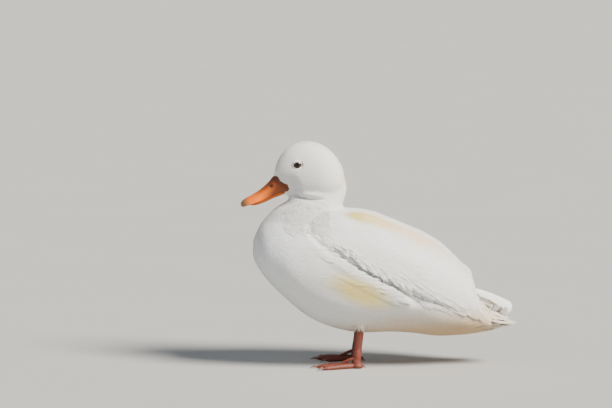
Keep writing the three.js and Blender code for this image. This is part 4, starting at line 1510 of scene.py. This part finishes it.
def bill_surface(t, angle):
    """The upper bill in millimetres, with its nostrils, the groove beside them and a lipped edge."""
    p = rib_points(BILL_RIBS, BILL_SECTION, t, angle)
    p[..., 0] -= 0.08 * smooth(130, 136.5, p[..., 0])  # the tip stays within the solid's
    opposite = rib_points(BILL_RIBS, BILL_SECTION, t, -angle)
    middle = np.stack([p[..., 0], np.zeros(t.shape), 0.45 * p[..., 2] + 0.55 * opposite[..., 2]], -1)
    away = unit(p - middle)
    x, z, length, height, dip = NOSTRIL
    c, s = math.cos(math.radians(dip)), math.sin(math.radians(dip))
    off_x, off_z = p[..., 0] - x, p[..., 2] - z
    along, up = off_x * c + off_z * s, off_z * c - off_x * s
    hole = (along / (length / 2)) ** 2 + (up / (height / 2)) ** 2
    push = -1.9 * np.exp(-(hole**1.4)) + 0.28 * np.exp(-(((np.sqrt(hole) - 1.5) / 0.45) ** 2))
    push -= 0.35 * np.exp(-(((along + 1) / 5.5) ** 2)) * np.exp(-(((up + 2.2) / 1.3) ** 2))
    edge = np.exp(-(((np.sin(angle) + 0.12) / 0.16) ** 2)) * smooth(0.2, 0.35, t) * smooth(1.0, 0.95, t)
    push += 0.35 * edge + 0.06 * np.sin(t * 260) * edge * (1 - smooth(0.82, 0.9, t))
    return p + away * push[..., None]


def build_bill():
    bill = form_object("upper_bill", bill_surface, 144, 150)
    points = in_millimetres(positions(bill.data))
    x, y, z = points.T
    # Painted shade along the ridge and round the base, where the head shades the bill, and deep in the
    # nostrils; the bill is a little darker at its base too.
    shade = smooth(0.45, 0.95, up_bill(x, z)) * 0.8 * smooth(127, 112, x)
    shade += smooth(113, 99, x + 0.5 * (z - 176))
    hole = np.exp(-((((x - NOSTRIL[0]) / 2.2) ** 2 + ((z - NOSTRIL[1]) / 1.6) ** 2) ** 2))
    store(bill.data, "shade", np.clip(shade + 2 * hole * (np.abs(y) < 8.3), 0, 1.2))
    store(bill.data, "tip", smooth(125.5, 133, x - 0.3 * (z - 160)) * 0.85)
    finish = bill_finish()
    painted(bill, finish)
    jaw = form_object("lower_bill", lambda t, a: rib_points(JAW_RIBS, JAW_SECTION, t, a), 72, 80)
    # The lower bill, under the upper, gets painted shade all over.
    store(jaw.data, "shade", np.full(len(jaw.data.vertices), 0.55))
    painted(jaw, finish)
    nail = form_object("nail", nail_surface, 60, 40)
    painted(nail, plain_finish("nail horn", (0.30, 0.21, 0.10), (0.52, 0.40, 0.22), 300.0, 1200.0, 0.35))
    for piece, slot, node in (
        (bill, "bill", "bill_upper"),
        (jaw, "bill", "bill_lower"),
        (nail, "bill_nail", "bill_nail"),
    ):
        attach(piece, "root")
        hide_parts(node)


def nail_surface(u, angle):
    """A low shield that wraps the bill's tip: u runs from its rear point round to its front."""
    t = 0.875 + 0.125 * np.clip(u, 0, 1)
    spread = 0.62 * np.sin(math.pi * np.clip(u * 0.62 + 0.02, 0, 1)) ** 0.6
    across = math.pi / 2 + spread * np.cos(angle) * 1.35
    lift = 0.34 * np.sin(angle) * np.sin(math.pi * np.clip(u, 0.0, 1.0)).clip(0) ** 0.4
    p = rib_points(BILL_RIBS, BILL_SECTION, t, across)
    outward = unit(p - (126, 0, 157))
    return p + outward * (0.12 + lift)[..., None] - (0.55, 0, 0) * smooth(133, 136.7, p[..., :1])


def build_eye(tag, side):
    """A glossy ball with a slightly domed front, in a rim of bare skin."""
    x, y, z = EYE

    def ball(t, angle):
        polar = math.pi * t
        dome = 1 + 0.045 * np.exp(-((polar / 0.5) ** 2))
        return np.stack(
            [
                x + EYE_RADIUS * dome * np.sin(polar) * np.cos(angle),
                side * (y + EYE_RADIUS * dome * np.cos(polar)),
                z + EYE_RADIUS * dome * np.sin(polar) * np.sin(angle),
            ],
            -1,
        )

    eye = form_object(f"eyeball_{tag}", ball, 64, 48)
    off = in_millimetres(positions(eye.data)) - (x, side * y, z)
    store(eye.data, "polar", np.arccos(np.clip(unit(off)[:, 1] * side, -1, 1)))
    painted(eye, eye_finish())
    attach(eye, "root")
    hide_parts(f"eye_{tag}")


def eye_finish():
    wet = {"Roughness": 0.12, "Specular_IOR_Level": 0.2, "Coat_Weight": 0.4, "Coat_Roughness": 0.02}
    finish = Finish("wet dark eye", **wet)
    polar = finish.attribute("polar")
    iris = finish.tinted(finish.noise(finish.place(), 900.0), (0.012, 0.006, 0.004), (0.035, 0.016, 0.008))
    finish.feed("Base Color", finish.tinted(finish.step(polar, 0.30, 0.36), (0.003, 0.003, 0.003), iris))
    return finish.material


# ---------------------------------------------------------------- legs and claws
def leg_finish():
    finish = Finish("scaled leg skin", Roughness=0.5, Subsurface_Weight=0.08, Subsurface_Scale=0.002)
    place = finish.place()
    cells = finish.add("ShaderNodeTexVoronoi", {"Vector": place, "Scale": 760.0}, feature="DISTANCE_TO_EDGE")
    seams = finish.step(cells.outputs[0], 0.0, 0.16)
    # The leg's orange-red is taken down to a dark red-brown all over: painted shade.
    orange = finish.tinted(finish.noise(place, 120.0), (0.13, 0.023, 0.011), (0.21, 0.042, 0.017))
    share = finish.number("MULTIPLY_ADD", seams, 0.55, 0.45)
    finish.feed("Base Color", finish.tinted(share, (0.075, 0.016, 0.010), orange))
    finish.relief(seams, 0.35, 0.0004)
    return finish.material


def toe_line(side, name):
    """Start and direction of a toe on the floor plan, with its length."""
    angle, length = TOES[name]
    turn = math.radians(angle) * side
    return np.array([ANKLE_X, side * LEG_Y]), np.array([math.cos(turn), math.sin(turn)]), length


def ankle_form(side, x, z, reach, rise, radius):
    """A spindle of flesh that rounds off the ankle, upright or sloping forwards over the foot."""

    def surface(t, angle):
        ring, run = radius * np.sin(math.pi * t), -np.cos(math.pi * t)
        aside = side * LEG_Y + ring * np.sin(angle)
        return np.stack([x + reach * run + ring * np.cos(angle), aside, z + rise * run], -1)

    return form_object("ankle", surface, 24, 20)


SCUTE, TOE_SCUTE = 2.3, 1.9  # height of the plates down the shank, and length of those on the toes
LEG_VOXEL = 0.55


def leg_relief(side, points, out):
    """How far plates, webs and seams stand out from the fused leg, in millimetres."""
    push = 0.28 * np.ones(len(points))
    for name in TOES:
        start, ahead, length = toe_line(side, name)
        run = (points[:, :2] - start) @ ahead
        aside = np.abs((points[:, :2] - start) @ (-ahead[1], ahead[0]))
        on_toe = smooth(3.2, 1.8, aside) * smooth(3, 7, run) * smooth(length + 2, length - 1, run)
        on_toe *= smooth(0.2, 0.6, out[:, 2]) * smooth(12, 9, points[:, 2])
        push += on_toe * 0.2 * np.abs(np.sin(math.pi * run / TOE_SCUTE)) ** 0.5 - 0.12 * on_toe
    x, y, z = points.T
    fore = smooth(0.1, 0.6, out[:, 0]) * smooth(9, 14, z)
    push += fore * (0.16 * np.abs(np.sin(math.pi * z / SCUTE)) ** 0.5 - 0.1)
    web = smooth(0.5, 0.8, np.abs(out[:, 2])) * smooth(3.4, 2.4, z)
    push += web * 0.08 * np.sin(2.1 * np.hypot(x - ANKLE_X, y - side * LEG_Y))
    return push


def build_legs():
    finish = leg_finish()
    horn = plain_finish("claw horn", (0.13, 0.07, 0.04), (0.26, 0.16, 0.10), 400.0, 1500.0, 0.4)
    for tag, side in SIDES.items():
        leg = collected("leg", [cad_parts[f"{part}_{tag}"] for part in ("shank", "foot")], weld=1e-6)
        ankles = [ankle_form(side, *form) for form in ANKLE_FORMS]
        leg = fused(joined(f"leg_{tag}", leg, *ankles), LEG_VOXEL, 9)
        points, out = points_and_normals(leg.data)
        points += out * leg_relief(side, points, out)[:, None]
        points[:, 2] += 6 * smooth(35, 40, points[:, 2])  # the top goes on up into the feathers
        points = points * MM + SHIFT
        points[:, 2] = np.maximum(points[:, 2], 0.0)
        move_points(leg.data, points)
        painted(leg, finish)
        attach(leg, "root")
        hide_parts(f"shank_{tag}", f"foot_{tag}")
        build_claws(tag, side, horn)


def build_claws(tag, side, horn):
    forms = []
    for name in TOES:
        start, ahead, length = toe_line(side, name)
        root = np.array([*(start + ahead * (length - 2.0)), 2.5])
        forms.append(claw_form(root, np.array([*ahead, 0.0]), 7.2, 1.35))
    length, height, heading, dip = HIND_TOE
    turn, dip = math.radians(heading) * side, math.radians(dip)
    ahead = np.array([math.cos(turn) * math.cos(dip), math.sin(turn) * math.cos(dip), -math.sin(dip)])
    end = np.array([ANKLE_X - 2.4, side * (LEG_Y - 1), height]) + ahead * length
    forms.append(claw_form(end, unit(np.array([ahead[0], ahead[1], -0.35])), 3.6, 1.08))
    claws = joined(f"claws_{tag}", *forms)
    points = positions(claws.data)
    points[:, 2] = np.maximum(points[:, 2], 0.0)
    move_points(claws.data, points)
    painted(claws, horn)
    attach(claws, "root")
    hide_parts(*[f"claw_{name}_{tag}" for name in (*TOES, "hind")])


def claw_form(root, ahead, length, radius):
    aside = unit(np.array([-ahead[1], ahead[0], 0.0]))

    def surface(t, angle):
        taper = radius * np.sqrt(np.minimum(1, 6 * t)) * (1 - t) ** 0.75
        drop = -0.3 * length * t * t + taper * np.sin(angle)
        return (
            root
            + ahead * (length * t)[..., None]
            + aside * (0.8 * taper * np.cos(angle))[..., None]
            + np.array([0, 0, 1.0]) * drop[..., None]
        )

    return form_object("claw", surface, 20, 24)


# ---------------------------------------------------------------- camera, floor and light
ELEVATION = 6  # degrees that the camera stands above the level
CAMERA_DISTANCE, SEEN_WIDTH = 4.0, 0.5998  # metres to the drake, and how much of the room's width is seen
SENSOR = 36
AIM = (0.0723, 0.0479)  # metres that the camera aims ahead of and above the drake's middle
FLOOR_HALF = 30


def build_camera():
    """It looks along -Y at the drake's left side, from a little above."""
    middle = Vector((0, 0, (solid_box[0][2] + solid_box[1][2]) / 2))
    elevation = math.radians(ELEVATION)
    back = Vector((0, math.cos(elevation), math.sin(elevation)))
    above = Vector((0, -math.sin(elevation), math.cos(elevation)))
    aim = middle + Vector((AIM[0], 0, 0)) + above * AIM[1]
    camera = placed("camera", bpy.data.cameras.new("camera"))
    camera.data.sensor_width = SENSOR
    camera.data.lens = SENSOR * CAMERA_DISTANCE / SEEN_WIDTH
    camera.data.clip_end = 100
    camera.location = aim + back * CAMERA_DISTANCE
    camera.rotation_mode = "QUATERNION"
    camera.rotation_quaternion = (-back).to_track_quat("-Z", "Y")
    bpy.context.scene.camera = camera


def build_floor():
    corners = [(x * FLOOR_HALF, y * FLOOR_HALF, 0) for x, y in ((-1, -1), (1, -1), (1, 1), (-1, 1))]
    floor = mesh_object("floor", corners, [(0, 1, 2, 3)])
    paint = Finish("studio floor", Roughness=0.9)
    mottle = paint.noise(paint.place(), 6.0)
    paint.feed("Base Color", paint.tinted(mottle, (0.43, 0.43, 0.42), (0.455, 0.455, 0.445)))
    floor.data.materials.append(paint.material)


def build_light():
    soft_light("warm_side", (-0.62, 0.42, 0.66), 24, 9.4, (1.0, 0.94, 0.85))
    soft_light("cool_side", (0.8, 0.8, 0.6), 60, 0.5, (0.84, 0.91, 1.0))
    world = bpy.data.worlds.new("studio")
    world.use_nodes = True
    sky = world.node_tree.nodes["Background"].inputs
    sky["Color"].default_value = (0.80, 0.86, 0.94, 1)
    sky["Strength"].default_value = 0.34
    bpy.context.scene.world = world


def soft_light(name, direction, spread, power, colour):
    """Wide, even light from one side of a large room."""
    light = bpy.data.lights.new(name, "SUN")
    light.angle = math.radians(spread)
    light.energy, light.color = power, colour
    holder = placed(name, light)
    holder.rotation_mode = "QUATERNION"
    holder.rotation_quaternion = Vector(direction).to_track_quat("Z", "Y")


# ---------------------------------------------------------------- the whole drake
build_camera()
build_floor()
build_light()
skin = build_skin()
build_coat(skin)
build_bill()
build_legs()
for tag, side in SIDES.items():
    build_eye(tag, side)
